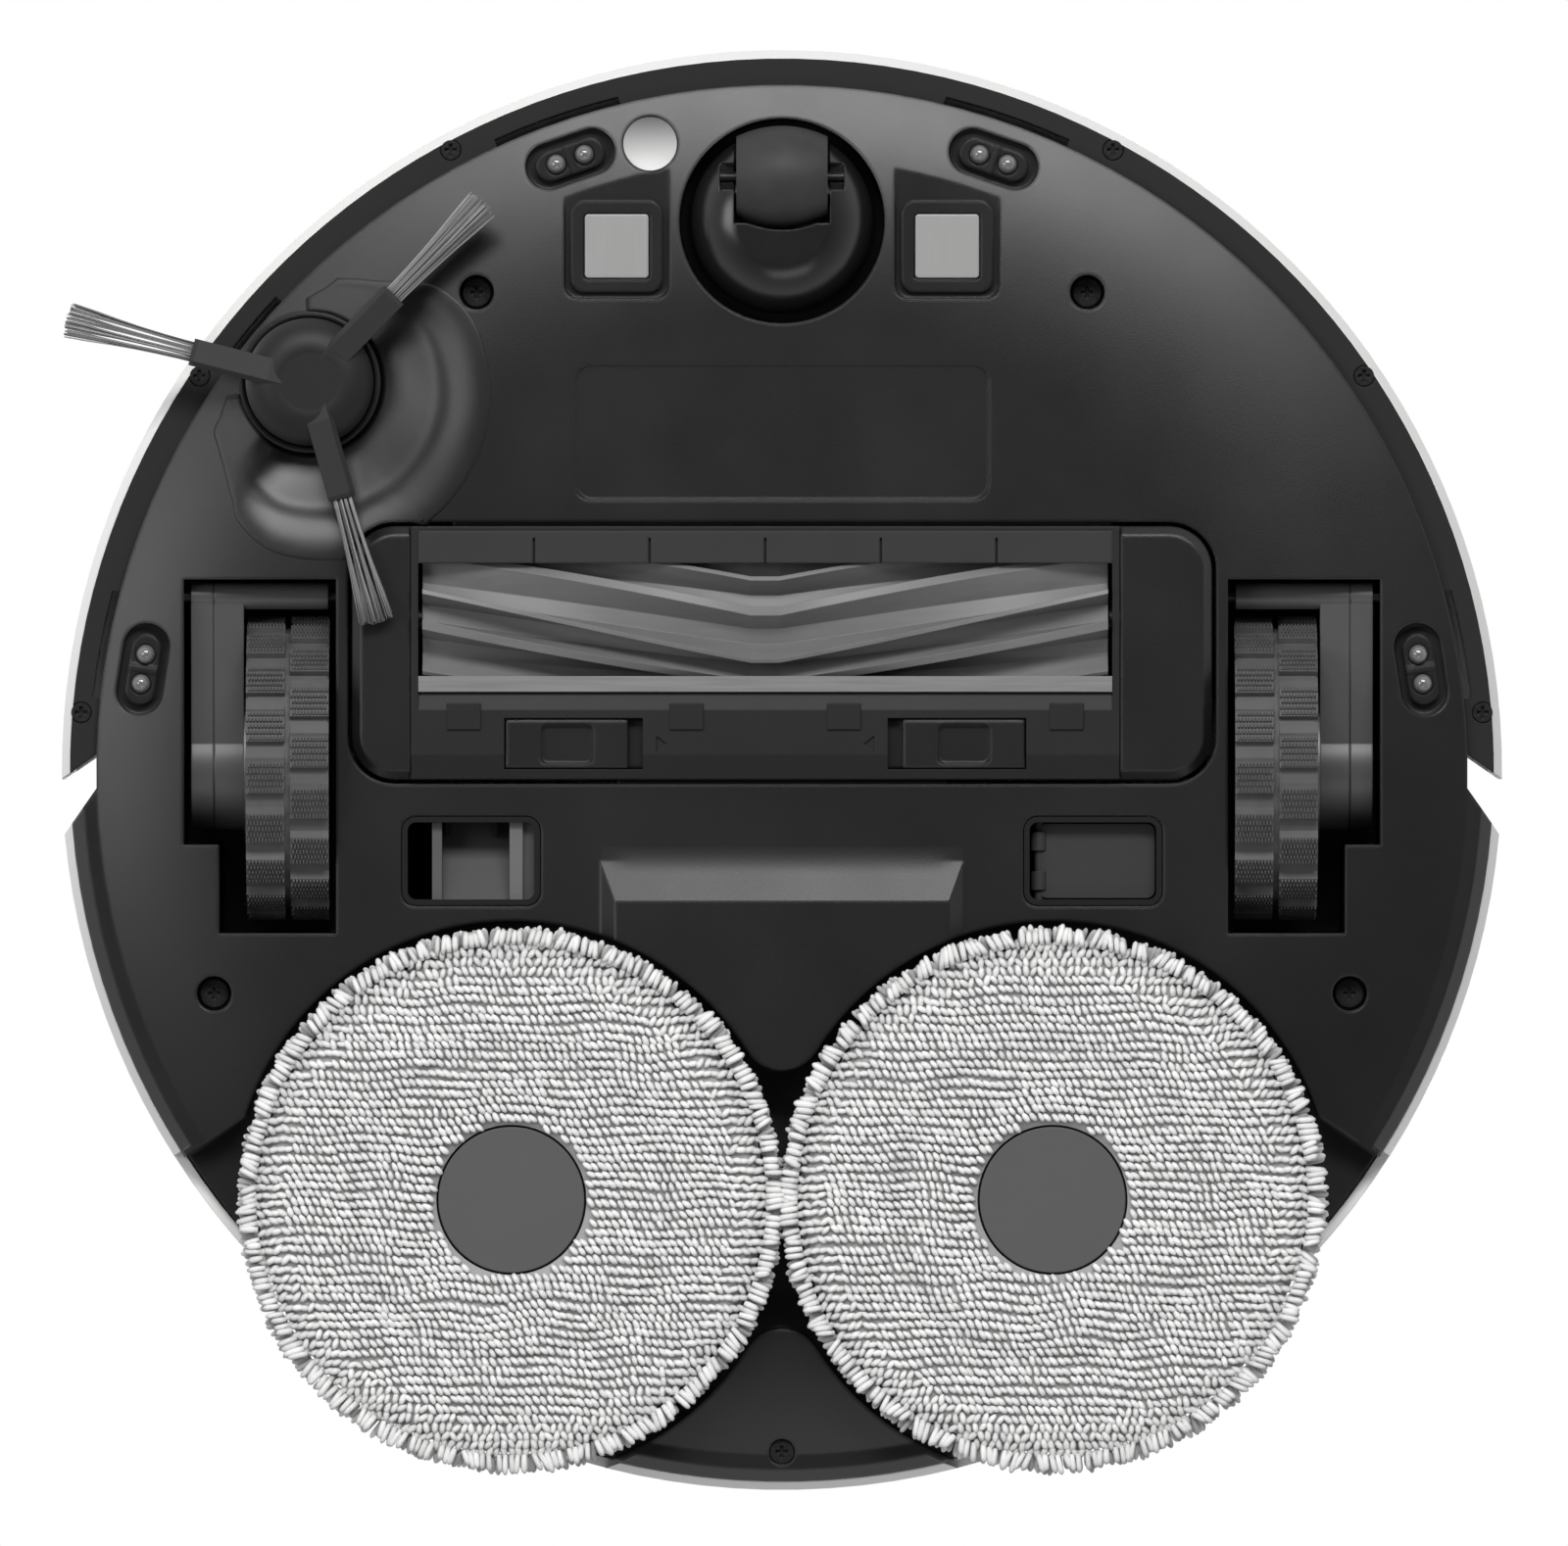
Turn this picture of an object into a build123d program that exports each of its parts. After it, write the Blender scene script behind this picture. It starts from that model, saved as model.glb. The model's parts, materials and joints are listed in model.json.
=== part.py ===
from build123d import *

import math
import os

# Robot vacuum with two spinning mop pads, standing on its wheels.
# Millimetres. +Z is up, +Y is the front, +X is the robot's own right, and the floor is z = 0.

# Clearances
RUN = 0.05             # radial play of a shaft in its bearing
GAP = 0.3              # play between pieces that move past each other
SEAM = 0.2             # parting gap between fixed pieces

# Body outline
BODY_R = 175.0         # widest radius
RIM_W = 1.9            # white rim seen outside the black lip
LIP_W = 6.6            # black lip seen outside the chassis plate
LIP_TUCK = 1.0         # lip hidden above the chassis edge
LIP_T = 2.6            # lip thickness
BUMPER_TRAVEL = 4.0    # how far the bumper gives
SKIN = 2.4             # wall of bumper and rear shell
SHELL_WALL = 2.5       # inner wall of the upper shell
SHOULDER_R = 6.0       # round upper edge of the body
FRONT_END_Y = 3.8      # bumper end where it meets the chassis edge
FRONT_END_SLOPE = 0.71
REAR_END_Y = -4.5      # rear shell end where it meets the chassis edge
REAR_END_SLOPE = 1.42
BAND_W = 3.0           # bevelled band round the rear

# Chassis plate
CLEARANCE = 10.0       # flat underside above the floor
PLATE = 2.5            # plate thickness
BEVEL_SHARE = 0.64     # of the widest radius, where the underside starts to rise
EDGE_RISE = 8.0        # rise of the underside at the plate's edge
EDGE_T = 2.0           # plate edge thickness
FLANGE_W = 18.5        # solid flange inside the plate's edge

# Drive wheels
WHEEL_R = 37.0
WHEEL_Y = 0.6
TYRE_W = 20.1
TYRE_T = 3.6           # tyre carcass under the lugs
LUG_H = 2.4
LUG_COUNT = 18         # in each of the two rows
LUG_LENGTH = 8.8
LUG_ROW_GAP = 1.3
WELL_INSET = 21.3      # well's outer wall inside the chassis edge
WELL_SIDE_PLAY = 1.7
WELL_WALL = 1.5
WELL_STEP_W = 8.6      # corner of the chassis that the well leaves standing
ARM_W = 12.8           # gearbox arm beside the wheel
ARM_PLAY = 0.7         # between arm and tyre
ARM_R = 15.0           # arm's round end
BAR_R = 3.2            # cross bar round the pivot pin
PIN_R = 1.5
PIVOT_Z = 22.0
MOTOR_R = 19.0         # gear motor inside the wheel
AXLE_R = 3.0
RIM_T = 3.5            # wheel hub's rim
WEB_T = 2.7            # wheel hub's web
WHEEL_TOP_PLAY = 1.5
SPRING_R = 4.4         # mean radius of the suspension spring
SPRING_WIRE = 0.6      # wire radius
SPRING_TURNS = 6
SPRING_Y = 8.0         # spring behind the arm's middle
SPRING_SEAT_T = 4.0

# Upper body
DECK_T = 2.2
COVER_T = 3.0
COVER_BEVEL = 1.2      # bevelled upper edge of the cover
COVER_INSET = 4.5      # cover's edge inside the widest radius
TURRET_Y = 42.0
TURRET_R = 37.5
TURRET_H = 22.5        # above the deck
TURRET_WALL = 1.8
HEAD_R = 28.0
HEAD_H = 13.0
HEAD_POST_R = 6.0
HEAD_POST_H = 3.0
SLOT_LOW = 6.0         # scanner window above the deck
SLOT_H = 10.0
BUTTON_SETBACK = 15.3  # buttons behind the caster's swivel
BUTTON_R = 6.0
BUTTON_PITCH = 22.0
BUTTON_TRAVEL = 0.8
BUTTON_PROUD = 1.0     # above the button island
BUTTON_CAP_T = 3.0
STEM_R = 2.0
ISLAND_W = 17.0
ISLAND_L = 44.0
BOARD_T = 1.6
BOARD_DROP = 11.0      # board below the deck
BOARD_X = 62.0
BOARD_Y0 = 82.0
BOARD_SETBACK = 5.3    # board's front edge behind the caster's swivel
CHIP = 14.0

# Caster
CASTER_INSET = 33.2    # swivel inside the chassis edge
SOCKET_R = 24.9
SOCKET_WALL = 2.9
SOCKET_SEAT_Z = 22.0
SOCKET_ROOF = 10.0
FORK_R = 22.2
FORK_LOW = 6.0
FORK_TOP = 35.0
FORK_HEADROOM = 2.0
FORK_SHOULDER_Z = 17.0
CASTER_TRAIL = 10.7
CASTER_R = 12.4
CASTER_END_R = 9.8
CASTER_W = 22.1
CASTER_PIN_R = 1.25
CASTER_PIN_L = 30.2
PIN_POCKET = 3.4       # half width of the pocket at each pin end
WHEEL_SLOT_SAG = 3.3   # bow of the slot's rear end, to follow the barrel
STEM_BUSH_R = 4.0

# Charging contacts, front sensors and label field
CONTACT_X = 40.1
CONTACT_SETBACK = 6.1  # contacts behind the caster's swivel
CONTACT_W = 15.5
FRAME_W = 22.5
FRAME_CORNER = 3.5
POCKET_MARGIN = 1.5
POCKET_RISE = 3.6      # pocket roof above the flat underside
FRAME_T = 1.4
CARPET_X = 32.0
CARPET_LEAD = 18.8     # sensor ahead of the caster's swivel
CARPET_R = 6.5
CARPET_DISH = 1.0
CLIFF_INSET = 9.5      # sensor centre inside the chassis edge
CLIFF_ANGLES = (19.1, 81.0)
CLIFF_L = 22.4
CLIFF_W = 11.4
CLIFF_BLOCK_L = 17.4
CLIFF_BLOCK_W = 7.4
CLIFF_ROOF = 0.8       # flange left above a sensor pocket
CLIFF_BLOCK_T = 2.0
CLIFF_BAR = 1.6        # bar between the two lenses
LENS_R = 2.3
LENS_PITCH = 7.2
LABEL_X = 50.2
LABEL_GAP = 5.4        # label field ahead of the brush bay
LABEL_SETBACK = 35.1   # its front edge behind the caster's swivel
LABEL_CORNER = 4.0
LABEL_DEPTH = 0.4

# Side brush
BRUSH_BEARING = 50.58  # from the front towards +X
BRUSH_INSET = 18.15    # inside the chassis edge
BRUSH_ANGLE = 14.3     # first arm, from +X
BEZEL_R = 17.2
BEZEL_WALL = 1.3
HUB_R = 15.5
HUB_LOW = 3.0
HUB_TOP = 13.2
SPINDLE_R = 4.0
SPINDLE_ENTRY = 5.0
DISH_ROOF = 18.0
DISH_SHARE = 0.257     # reach of the dish, of the widest radius
DISH_DROPS = (         # share of the reach and of the depth, from the floor over a step to the underside
    (0.467, 0.02), (0.556, 0.28), (0.689, 0.55), (0.778, 0.594), (0.911, 0.888), (1.0, 1.016),
)
DISH_RUN_OUT = 0.05    # slope at which the dish meets the underside
DISH_WALL = 2.2
DISH_EDGE = 1.2        # flange left between the dish and the shell's wall line
ARM_LENGTH = 29.0
ARM_WIDTH = 6.3
ARM_BEVEL = 1.2
ARM_HEIGHT = 3.4
ARM_END_Z = 3.4
BACKING = 3.0
TUFT_REACH = 61.5
TUFT_TIP_W = 8.6
TUFT_TIP_H = 2.4
TUFT_TIP_Z = 1.6
STRANDS_ACROSS = 12
STRANDS_UP = 9
STRAND_SIDE = 0.22
SIDE_MOTOR_R = 9.8
SIDE_MOTOR_H = 34.0

# Main brush
BAY_STRIP = 2.9        # chassis left between brush bay and wheel well
BAY_Y0 = -3.3
BAY_Y1 = 60.2
BAY_CORNER = 11.5
BAY_GAP = 1.0
CAP_RIGHT = 15.1       # fixed end cap at the free end
CAP_LEFT = 23.2        # fixed end cap over the drive
CAP_BEVEL = 2.2
HOUSING_WALL = 2.0
ROLLER_Y = 36.5
ROLLER_Z = 23.0
ROLLER_R = 20.0
FIN_ROOT_R = 13.5
FIN_COUNT = 12
FIN_TWIST = 50.0
BRIDGE = 7.0           # straight middle of the fins
CORE_R = 9.0
JOURNAL_R = 4.0
JOURNAL_L = 6.0
ROLLER_PLAY = 1.0      # between roller and its surroundings
FLANGE_T = 2.0
FLANGE_REACH = 5.0
FLANGE_INSET = 24.3    # screw flange inside the end caps
MOUTH_X = 28.0         # half width of the passage to the dust bin
MOUTH_Z0 = 33.0
MOUTH_Z1 = 43.0
GUARD_Z = 7.0
GUARD_T = 3.0
GUARD_RAIL = 1.8
GUARD_LEAD_W = 4.4     # slope behind the scraper
GUARD_LEAD_RISE = 0.9
GUARD_TAIL_W = 5.8     # slope at the rear edge
GUARD_TAIL_RISE = 1.2
WINDOW_Y0 = 22.8
WINDOW_Y1 = 50.2
FLAP_T = 1.0
FLAP_SLITS = 5
FLAP_SLIT_W = 0.6
SCRAPER_W = 3.8
SCRAPER_T = 1.6
SCRAPER_PROUD = 0.4
STUD_W = 8.1
STUD_L = 6.3
STUD_Y = 13.0
STUD_SHARES = (0.2217, 0.8485)   # of the guard's half length, from its middle
STUD_PROUD = 0.6
LATCH_SHARE = 0.5398   # latch windows, of the guard's half length
LATCH_L = 29.7
LATCH_W = 11.8
LATCH_Y = 6.4
LATCH_TRAVEL = 3.3
LATCH_T = 2.6
LATCH_GRIP_L = 12.6
LATCH_GRIP_W = 9.6
LATCH_GRIP_DEPTH = 1.5
LATCH_GRIP_CORNER = 1.6
LATCH_LEDGE = 1.5      # ledge that stays over the guard at the end of the travel
ARROW_OFFSET = 4.5     # sunken arrow beside each latch
ARROW_L = 2.6
ARROW_W = 3.8
ARROW_DEPTH = 0.5
BRUSH_MOTOR_R = 11.5
BRUSH_MOTOR_L = 54.0
BRUSH_MOTOR_Y = 24.0

# Dust ports beside the brush
PORT_INSET = 15.8      # ports inside the wheel wells
PORT_L = 33.9
PORT_STRIP = 2.1       # chassis left between ports and mop recesses
PORT_Y1 = -11.1
PORT_CORNER = 3.6
DUCT_WALL = 1.4
DUCT_TOP = 48.0
RIB_T = 1.4
RIB_DEPTH = 3.5
RIB_RISE = 7.5         # ribs start this far above the underside
DUCT_FLAP_T = 1.4
DUCT_FLAP_Z = 15.0
KNUCKLE_R = 2.0
FLAP_PIN_R = 1.1

# Raised panel between the mops
PANEL_DROP = 3.0
PANEL_MARGIN = 14.5    # panel between the dust ports
PANEL_BEVEL = 3.5
PANEL_Y = -22.0
PANEL_FLAT_Y = -31.7

# Mops
MOP_X_SHARE = 0.37486  # mop centres, of the widest radius
MOP_Y_SHARE = 0.59543
PAD_PLAY = 0.3         # half the gap between the two pads
PAD_T = 9.0
PAD_EDGE = 5.0
CHANNEL_SHARE = 0.582  # of the pad's radius
CHANNEL_W = 4.0
CHANNEL_DEPTH = 0.9
DISC_R = 17.7          # grey centre disc
DISC_LOW = 1.5
MOP_PLATE_INSET = 5.3
MOP_PLATE_T = 3.0
MOP_BOSS_R = 14.0
MOP_BOSS_T = 3.0
MOP_LIFT = 10.0
MOP_RECESS_PLAY = 2.4
RECESS_WALL = 1.4
RECESS_ROOF_PLAY = 2.0
RECESS_ROOF_T = 2.5
WAIST_R = 9.7          # round tongue of chassis between the recesses
SEAM_X_SHARE = 0.7446  # where the recess runs out to the rim, of the widest radius
SEAM_Y_SHARE = 0.4811
SEAM_SLOPE = -0.664
SHAFT_R = 5.0
SHAFT_PLAY = 1.5
COLLAR_R = 8.0
COLLAR_T = 2.5
CARRIAGE_MARGIN = 16.0
CARRIAGE_T = 14.0
CARRIAGE_CORNER = 15.0
GUIDE_SHARE = 0.61     # guide posts, of the way to the mop shafts
GUIDE_R = 3.0
MOP_MOTOR_R = 14.0
MOP_MOTOR_H = 18.0

# Dust bin, battery and fan
BIN_MARGIN = 4.5       # dust bin between the dust ports
BIN_Y0 = -64.0
BIN_WALL = 1.8
BIN_PLAY = 1.0
BIN_TOP_GAP = 1.3
BATTERY_X0 = -84.0
BATTERY_X1 = -12.0
BATTERY_Y0 = 66.0
BATTERY_SETBACK = 27.3 # front end behind the caster's swivel
BATTERY_H = 38.0
RAIL_H = 2.0
RAIL_W = 5.0
FAN_SHARE = 0.24       # of the widest radius
FAN_Y = 85.0
FAN_R = 24.0
FAN_H = 34.0
FAN_FOOT_R = 17.0

# Screws
SCREW_SHARES = ((0.4234, 0.6629), (0.7874, -0.3097))   # places of the screws, of the widest radius
SCREW_HOLE_R = 4.2
SCREW_HEAD_R = 3.4
SCREW_HEAD_T = 2.2
SCREW_R = 1.5
SCREW_L = 8.0
SCREW_BOSS_R = 6.5
SCREW_BOSS_TOP = 24.0
SCREW_SEAT = 20.0
POST_R = 4.5
REAR_SCREW_INSET = 1.0   # behind the chassis edge radius
REAR_HOLE_R = 3.1
LIP_SCREW_INSET = 2.3
LIP_SCREW_ANGLES = (28.1, 55.9, 85.3)
LIP_SCREW_HEAD_R = 2.4
LIP_SCREW_HEAD_T = 1.3
LIP_SCREW_R = 1.1
LIP_SCREW_L = 7.0
LIP_BOSS_R = 2.6
LIP_BOSS_H = 10.0
CROSS_W = 0.9
CROSS_L = 3.0
CROSS_DEPTH = 0.9
LIP_SLOTS = ((13.7, 24.5), (-24.5, -13.7), (75.0, 84.0), (-84.0, -75.0), (46.9, 52.4))
LIP_SLOT_W = 1.8

# Radii and levels that follow
LIP_R = BODY_R - RIM_W
EDGE_R = LIP_R - LIP_W
SHELL_R = EDGE_R - LIP_TUCK - BUMPER_TRAVEL - GAP
FLANGE_R = EDGE_R - FLANGE_W
EDGE_Z = CLEARANCE + EDGE_RISE
FLANGE_Z = EDGE_Z + EDGE_T
LIP_Z = FLANGE_Z + GAP
SKIN_Z = LIP_Z + LIP_T
FLOOR_Z = CLEARANCE + PLATE
BEVEL_R = BEVEL_SHARE * BODY_R
RIM_RUN = EDGE_R - BEVEL_R
RIM_ARC_R = (RIM_RUN ** 2 + EDGE_RISE ** 2) / (2 * EDGE_RISE)
WELL_X1 = EDGE_R - WELL_INSET
ARM_X1 = WELL_X1 - WELL_SIDE_PLAY
ARM_X0 = ARM_X1 - ARM_W
TYRE_X1 = ARM_X0 - ARM_PLAY
TYRE_X0 = TYRE_X1 - TYRE_W
WELL_X0 = TYRE_X0 - WELL_SIDE_PLAY
WELL_Y0 = WHEEL_Y - WHEEL_R - 3.2
WELL_Y1 = WHEEL_Y + WHEEL_R + 8.7
STEP_X = WELL_X1 - WELL_STEP_W
STEP_Y = WHEEL_Y - ARM_R - 3.7
PIVOT_Y = WELL_Y1 - WELL_SIDE_PLAY / 2 - BAR_R
TYRE_R = WHEEL_R - LUG_H
HUB_RIM_R = TYRE_R - TYRE_T
BOX_TOP = 2 * WHEEL_R + WHEEL_TOP_PLAY + WELL_WALL
DECK_Z = BOX_TOP + GAP
DECK_TOP = DECK_Z + DECK_T
COVER_Z = DECK_TOP + GAP
COVER_TOP = COVER_Z + COVER_T
COVER_R = BODY_R - COVER_INSET
CASTER_Y = EDGE_R - CASTER_INSET
CONTACT_Y = CASTER_Y - CONTACT_SETBACK
CARPET_Y = CASTER_Y + CARPET_LEAD
BUTTON_Y = CASTER_Y - BUTTON_SETBACK
BOARD_Y1 = CASTER_Y - BOARD_SETBACK
BATTERY_Y1 = CASTER_Y - BATTERY_SETBACK
LABEL_Y0 = BAY_Y1 + LABEL_GAP
LABEL_Y1 = CASTER_Y - LABEL_SETBACK
BRUSH_X = (EDGE_R - BRUSH_INSET) * math.sin(math.radians(BRUSH_BEARING))
BRUSH_Y = (EDGE_R - BRUSH_INSET) * math.cos(math.radians(BRUSH_BEARING))
DISH_R = DISH_SHARE * BODY_R
CHASSIS_SCREWS = [(side * x * BODY_R, y * BODY_R) for x, y in SCREW_SHARES for side in (1, -1)]
BAY_X = WELL_X0 - BAY_STRIP
CAP_X = BAY_X - BAY_GAP
GUARD_X1 = BAY_X - CAP_RIGHT
GUARD_X0 = -BAY_X + CAP_LEFT
GUARD_MID = (GUARD_X0 + GUARD_X1) / 2
GUARD_HALF = (GUARD_X1 - GUARD_X0) / 2
LATCH_SPREAD = LATCH_SHARE * GUARD_HALF
FLANGE_X = CAP_X - FLANGE_INSET
GUARD_Y0 = BAY_Y0 + BAY_GAP + SEAM
GUARD_Y1 = BAY_Y1 - BAY_GAP - SEAM
GUARD_TOP = GUARD_Z + GUARD_T
CHAMBER_TOP = ROLLER_Z + ROLLER_R + 3 * ROLLER_PLAY
HOUSING_TOP = CHAMBER_TOP + HOUSING_WALL
MOP_X = MOP_X_SHARE * BODY_R
MOP_Y = -MOP_Y_SHARE * BODY_R
PAD_R = MOP_X - PAD_PLAY
CHANNEL_R = CHANNEL_SHARE * PAD_R
MOP_PLATE_R = PAD_R - MOP_PLATE_INSET
MOP_RECESS_R = PAD_R + MOP_RECESS_PLAY
SEAM_X = SEAM_X_SHARE * BODY_R
SEAM_Y = -SEAM_Y_SHARE * BODY_R
GUIDE_X = GUIDE_SHARE * MOP_X
PORT_X1 = WELL_X0 - PORT_INSET
PORT_X0 = PORT_X1 - PORT_L
PORT_Y0 = MOP_Y + MOP_RECESS_R + RECESS_WALL + PORT_STRIP
PANEL_X = PORT_X0 - PANEL_MARGIN
PANEL_FLAT_X = PANEL_X - PANEL_BEVEL
BIN_X = PORT_X0 - BIN_MARGIN
FAN_X = FAN_SHARE * BODY_R
PAD_HOLE_R = DISC_R + 0.5
MOP_TOP = PAD_T + MOP_PLATE_T + MOP_BOSS_T
RECESS_Z = MOP_TOP + MOP_LIFT + RECESS_ROOF_PLAY
RECESS_TOP = RECESS_Z + RECESS_ROOF_T
CARRIAGE_Z = RECESS_TOP + GAP
CARRIAGE_TOP = CARRIAGE_Z + CARRIAGE_T
BIN_Z = RECESS_TOP + GAP
BIN_TOP = DECK_Z - BIN_TOP_GAP
BIN_Y1 = BAY_Y0 + BAY_GAP - GAP
BATTERY_Z = FLOOR_Z + RAIL_H
POCKET_ROOF = CLEARANCE + POCKET_RISE
SOCKET_TOP = FORK_TOP + FORK_HEADROOM + SOCKET_ROOF
CLIFF_Z = FLANGE_Z - CLIFF_ROOF
LIP_SCREW_R0 = LIP_R - LIP_SCREW_INSET
ISLAND_TOP = COVER_TOP
BOARD_TOP = DECK_Z - BOARD_DROP
FAR = 4 * BODY_R
SEAM_TURN = 45         # turns a round piece's closing line clear of its cuts
UP = (Align.CENTER, Align.CENTER, Align.MIN)


def block(x0, x1, y0, y1, z0, z1):
    """An upright block between its six faces."""
    middle = Pos((x0 + x1) / 2, (y0 + y1) / 2, (z0 + z1) / 2)
    return middle * Box(x1 - x0, y1 - y0, z1 - z0)


def round_block(x0, x1, y0, y1, z0, z1, radius):
    """A block with round upright corners."""
    outline = Pos((x0 + x1) / 2, (y0 + y1) / 2, z0) * RectangleRounded(x1 - x0, y1 - y0, radius)
    return extrude(outline, amount=z1 - z0)


def drum(x, y, radius, z0, z1):
    """An upright cylinder."""
    return Pos(x, y, (z0 + z1) / 2) * Cylinder(radius, z1 - z0)


def rod(x0, x1, y, z, radius):
    """A cylinder along X."""
    return Pos((x0 + x1) / 2, y, z) * Rot(0, 90, 0) * Cylinder(radius, x1 - x0)


def rod_y(x, y0, y1, z, radius):
    """A cylinder along Y."""
    return Pos(x, (y0 + y1) / 2, z) * Rot(90, 0, 0) * Cylinder(radius, y1 - y0)


def line(*points):
    """Straight edges through (radius, height) points in the XZ plane."""
    return Polyline(*[(r, 0, z) for r, z in points])


def arc(start, middle, end):
    """An arc through three (radius, height) points in the XZ plane."""
    return ThreePointArc(*[(r, 0, z) for r, z in (start, middle, end)])


def turned(*edges):
    """A solid turned about Z from edges in the XZ plane."""
    return revolve(make_face(edges), Axis.Z)


def ring(r0, r1, z0, z1):
    """A plain ring about Z."""
    return drum(0, 0, r1, z0, z1) - drum(0, 0, r0, z0, z1)


def prism(points, z0, z1):
    """A straight-sided prism over an XY outline."""
    return extrude(Pos(0, 0, z0) * make_face(Polyline(*points, close=True)), amount=z1 - z0)


def ramp(x0, x1, corners):
    """A straight-sided prism along X over a YZ outline."""
    outline = make_face(Polyline(*[(x0, y, z) for y, z in corners], close=True))
    return extrude(outline, amount=x1 - x0, dir=(1, 0, 0))


def mirrored(shape):
    """The same piece on the robot's other side."""
    return mirror(shape, about=Plane.YZ)


def both_sides(shape):
    """A piece and its mirror image."""
    return [shape, mirrored(shape)]


def around(radius, angle, z=0.0):
    """A place on a circle about Z, with the angle measured from the front towards +X."""
    turn = math.radians(angle)
    return Pos(radius * math.sin(turn), radius * math.cos(turn), z)


def rim_height(radius):
    """Underside height of the chassis plate at a radius."""
    reach = max(0.0, radius - BEVEL_R)
    return CLEARANCE + RIM_ARC_R - math.sqrt(RIM_ARC_R ** 2 - reach ** 2)


def rim_arc(r1, lift):
    """The rising part of the plate's profile, out to a radius."""
    middle = (BEVEL_R + r1) / 2
    return arc((BEVEL_R, CLEARANCE + lift), (middle, rim_height(middle) + lift), (r1, rim_height(r1) + lift))


def front_end(x):
    """Y of the bumper's slanted end at X."""
    return FRONT_END_Y - FRONT_END_SLOPE * (x - EDGE_R)


def rear_end(x):
    """Y of the rear shell's slanted end at X."""
    return REAR_END_Y - REAR_END_SLOPE * (x - EDGE_R)


def front_region(z0, z1):
    """Everything ahead of the bumper's slanted ends."""
    inner = EDGE_R / 2
    right = [(FAR, front_end(FAR)), (inner, front_end(inner))]
    left = [(-x, y) for x, y in reversed(right)]
    return prism([(FAR, FAR)] + right + left + [(-FAR, FAR)], z0, z1)


def rear_region(z0, z1):
    """Everything behind the rear shell's slanted ends."""
    inner = EDGE_R / 2
    right = [(FAR, rear_end(FAR)), (inner, rear_end(inner))]
    left = [(-x, y) for x, y in reversed(right)]
    low = rear_end(FAR) - FAR
    return prism([(FAR, low)] + right + left + [(-FAR, low)], z0, z1)


def notches(z0, z1):
    """The two openings between bumper and rear shell."""
    x1 = BODY_R + RIM_W
    front = [(x, front_end(x)) for x in (EDGE_R, x1)]
    rear = [(x, rear_end(x)) for x in (x1, EDGE_R)]
    return both_sides(prism(front + rear, z0, z1))


def side_wall():
    """The body's outer wall, turned all round."""
    r0 = BODY_R - SKIN
    r_top = BODY_R - SHOULDER_R
    bend = SHOULDER_R * (1 - math.sqrt(0.5))
    inner_bend = (SHOULDER_R - SKIN) * (1 - math.sqrt(0.5))
    foot = (LIP_R, SKIN_Z)
    hip = (BODY_R, SKIN_Z + 2 * RIM_W)
    neck = (BODY_R, DECK_TOP - SHOULDER_R)
    crown = (r_top, DECK_TOP)
    inner_neck = (r0, DECK_TOP - SHOULDER_R)
    inner_crown = (r_top, DECK_TOP - SKIN)
    edges = [
        line(foot, hip, neck),
        arc(neck, (BODY_R - bend, DECK_TOP - bend), crown),
        line(crown, inner_crown),
        arc(inner_crown, (r0 - inner_bend, DECK_TOP - SKIN - inner_bend), inner_neck),
        line(inner_neck, (r0, SKIN_Z), foot),
    ]
    return turned(*edges)


def recess_outline(grow):
    """Plan of the two mop recesses, with their round waist and the run-out to the rim."""
    radius = MOP_RECESS_R + grow
    pair = Pos(MOP_X, MOP_Y) * Circle(radius) + Pos(-MOP_X, MOP_Y) * Circle(radius)
    waist = [v for v in pair.vertices() if abs(v.X) < GAP]
    pair = fillet(waist, WAIST_R - grow)
    tilt = math.atan(SEAM_SLOPE)
    x0 = SEAM_X - grow * math.sin(tilt)
    y0 = SEAM_Y + grow * math.cos(tilt)
    corner = [(MOP_X, MOP_Y), (x0, y0), (FAR, y0 + SEAM_SLOPE * (FAR - x0)), (FAR, -FAR)]
    run_out = make_face(Polyline(*corner, close=True))
    return pair + run_out + mirror(run_out, about=Plane.YZ)


def mop_recess(grow, z0, z1):
    """The space of both mops, between two heights."""
    return extrude(Pos(0, 0, z0) * recess_outline(grow), amount=z1 - z0)


def well_outline(grow):
    """Plan of the right wheel well, with its rear step."""
    x0, x1 = WELL_X0 - grow, WELL_X1 + grow
    y0, y1 = WELL_Y0 - grow, WELL_Y1 + grow
    step_x, step_y = STEP_X + grow, STEP_Y - grow
    return [(x0, y0), (step_x, y0), (step_x, step_y), (x1, step_y), (x1, y1), (x0, y1)]


def cliff_place(angle, z):
    """Place of a cliff sensor, its long side along the rim."""
    return around(EDGE_R - CLIFF_INSET, angle, z) * Rot(0, 0, -angle)


def cliff_angles():
    """The four cliff sensors, from the front towards +X."""
    return [side * angle for angle in CLIFF_ANGLES for side in (1, -1)]


def dish(lift):
    """The stepped soft hollow round the side brush, as the space below it."""
    low = CLEARANCE - EDGE_T + lift
    depth = DISH_ROOF - CLEARANCE
    slope = [(BEZEL_R, DISH_ROOF + lift)]
    slope += [(DISH_R * reach, DISH_ROOF - depth * drop + lift) for reach, drop in DISH_DROPS]
    curve = Spline(*[(r, 0, z) for r, z in slope], tangents=((1, 0, 0), (1, 0, -DISH_RUN_OUT)))
    edges = [
        line((0, low), (0, DISH_ROOF + lift), slope[0]),
        curve,
        line(slope[-1], (DISH_R, low), (0, low)),
    ]
    return Pos(BRUSH_X, BRUSH_Y, 0) * turned(*edges)


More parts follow.
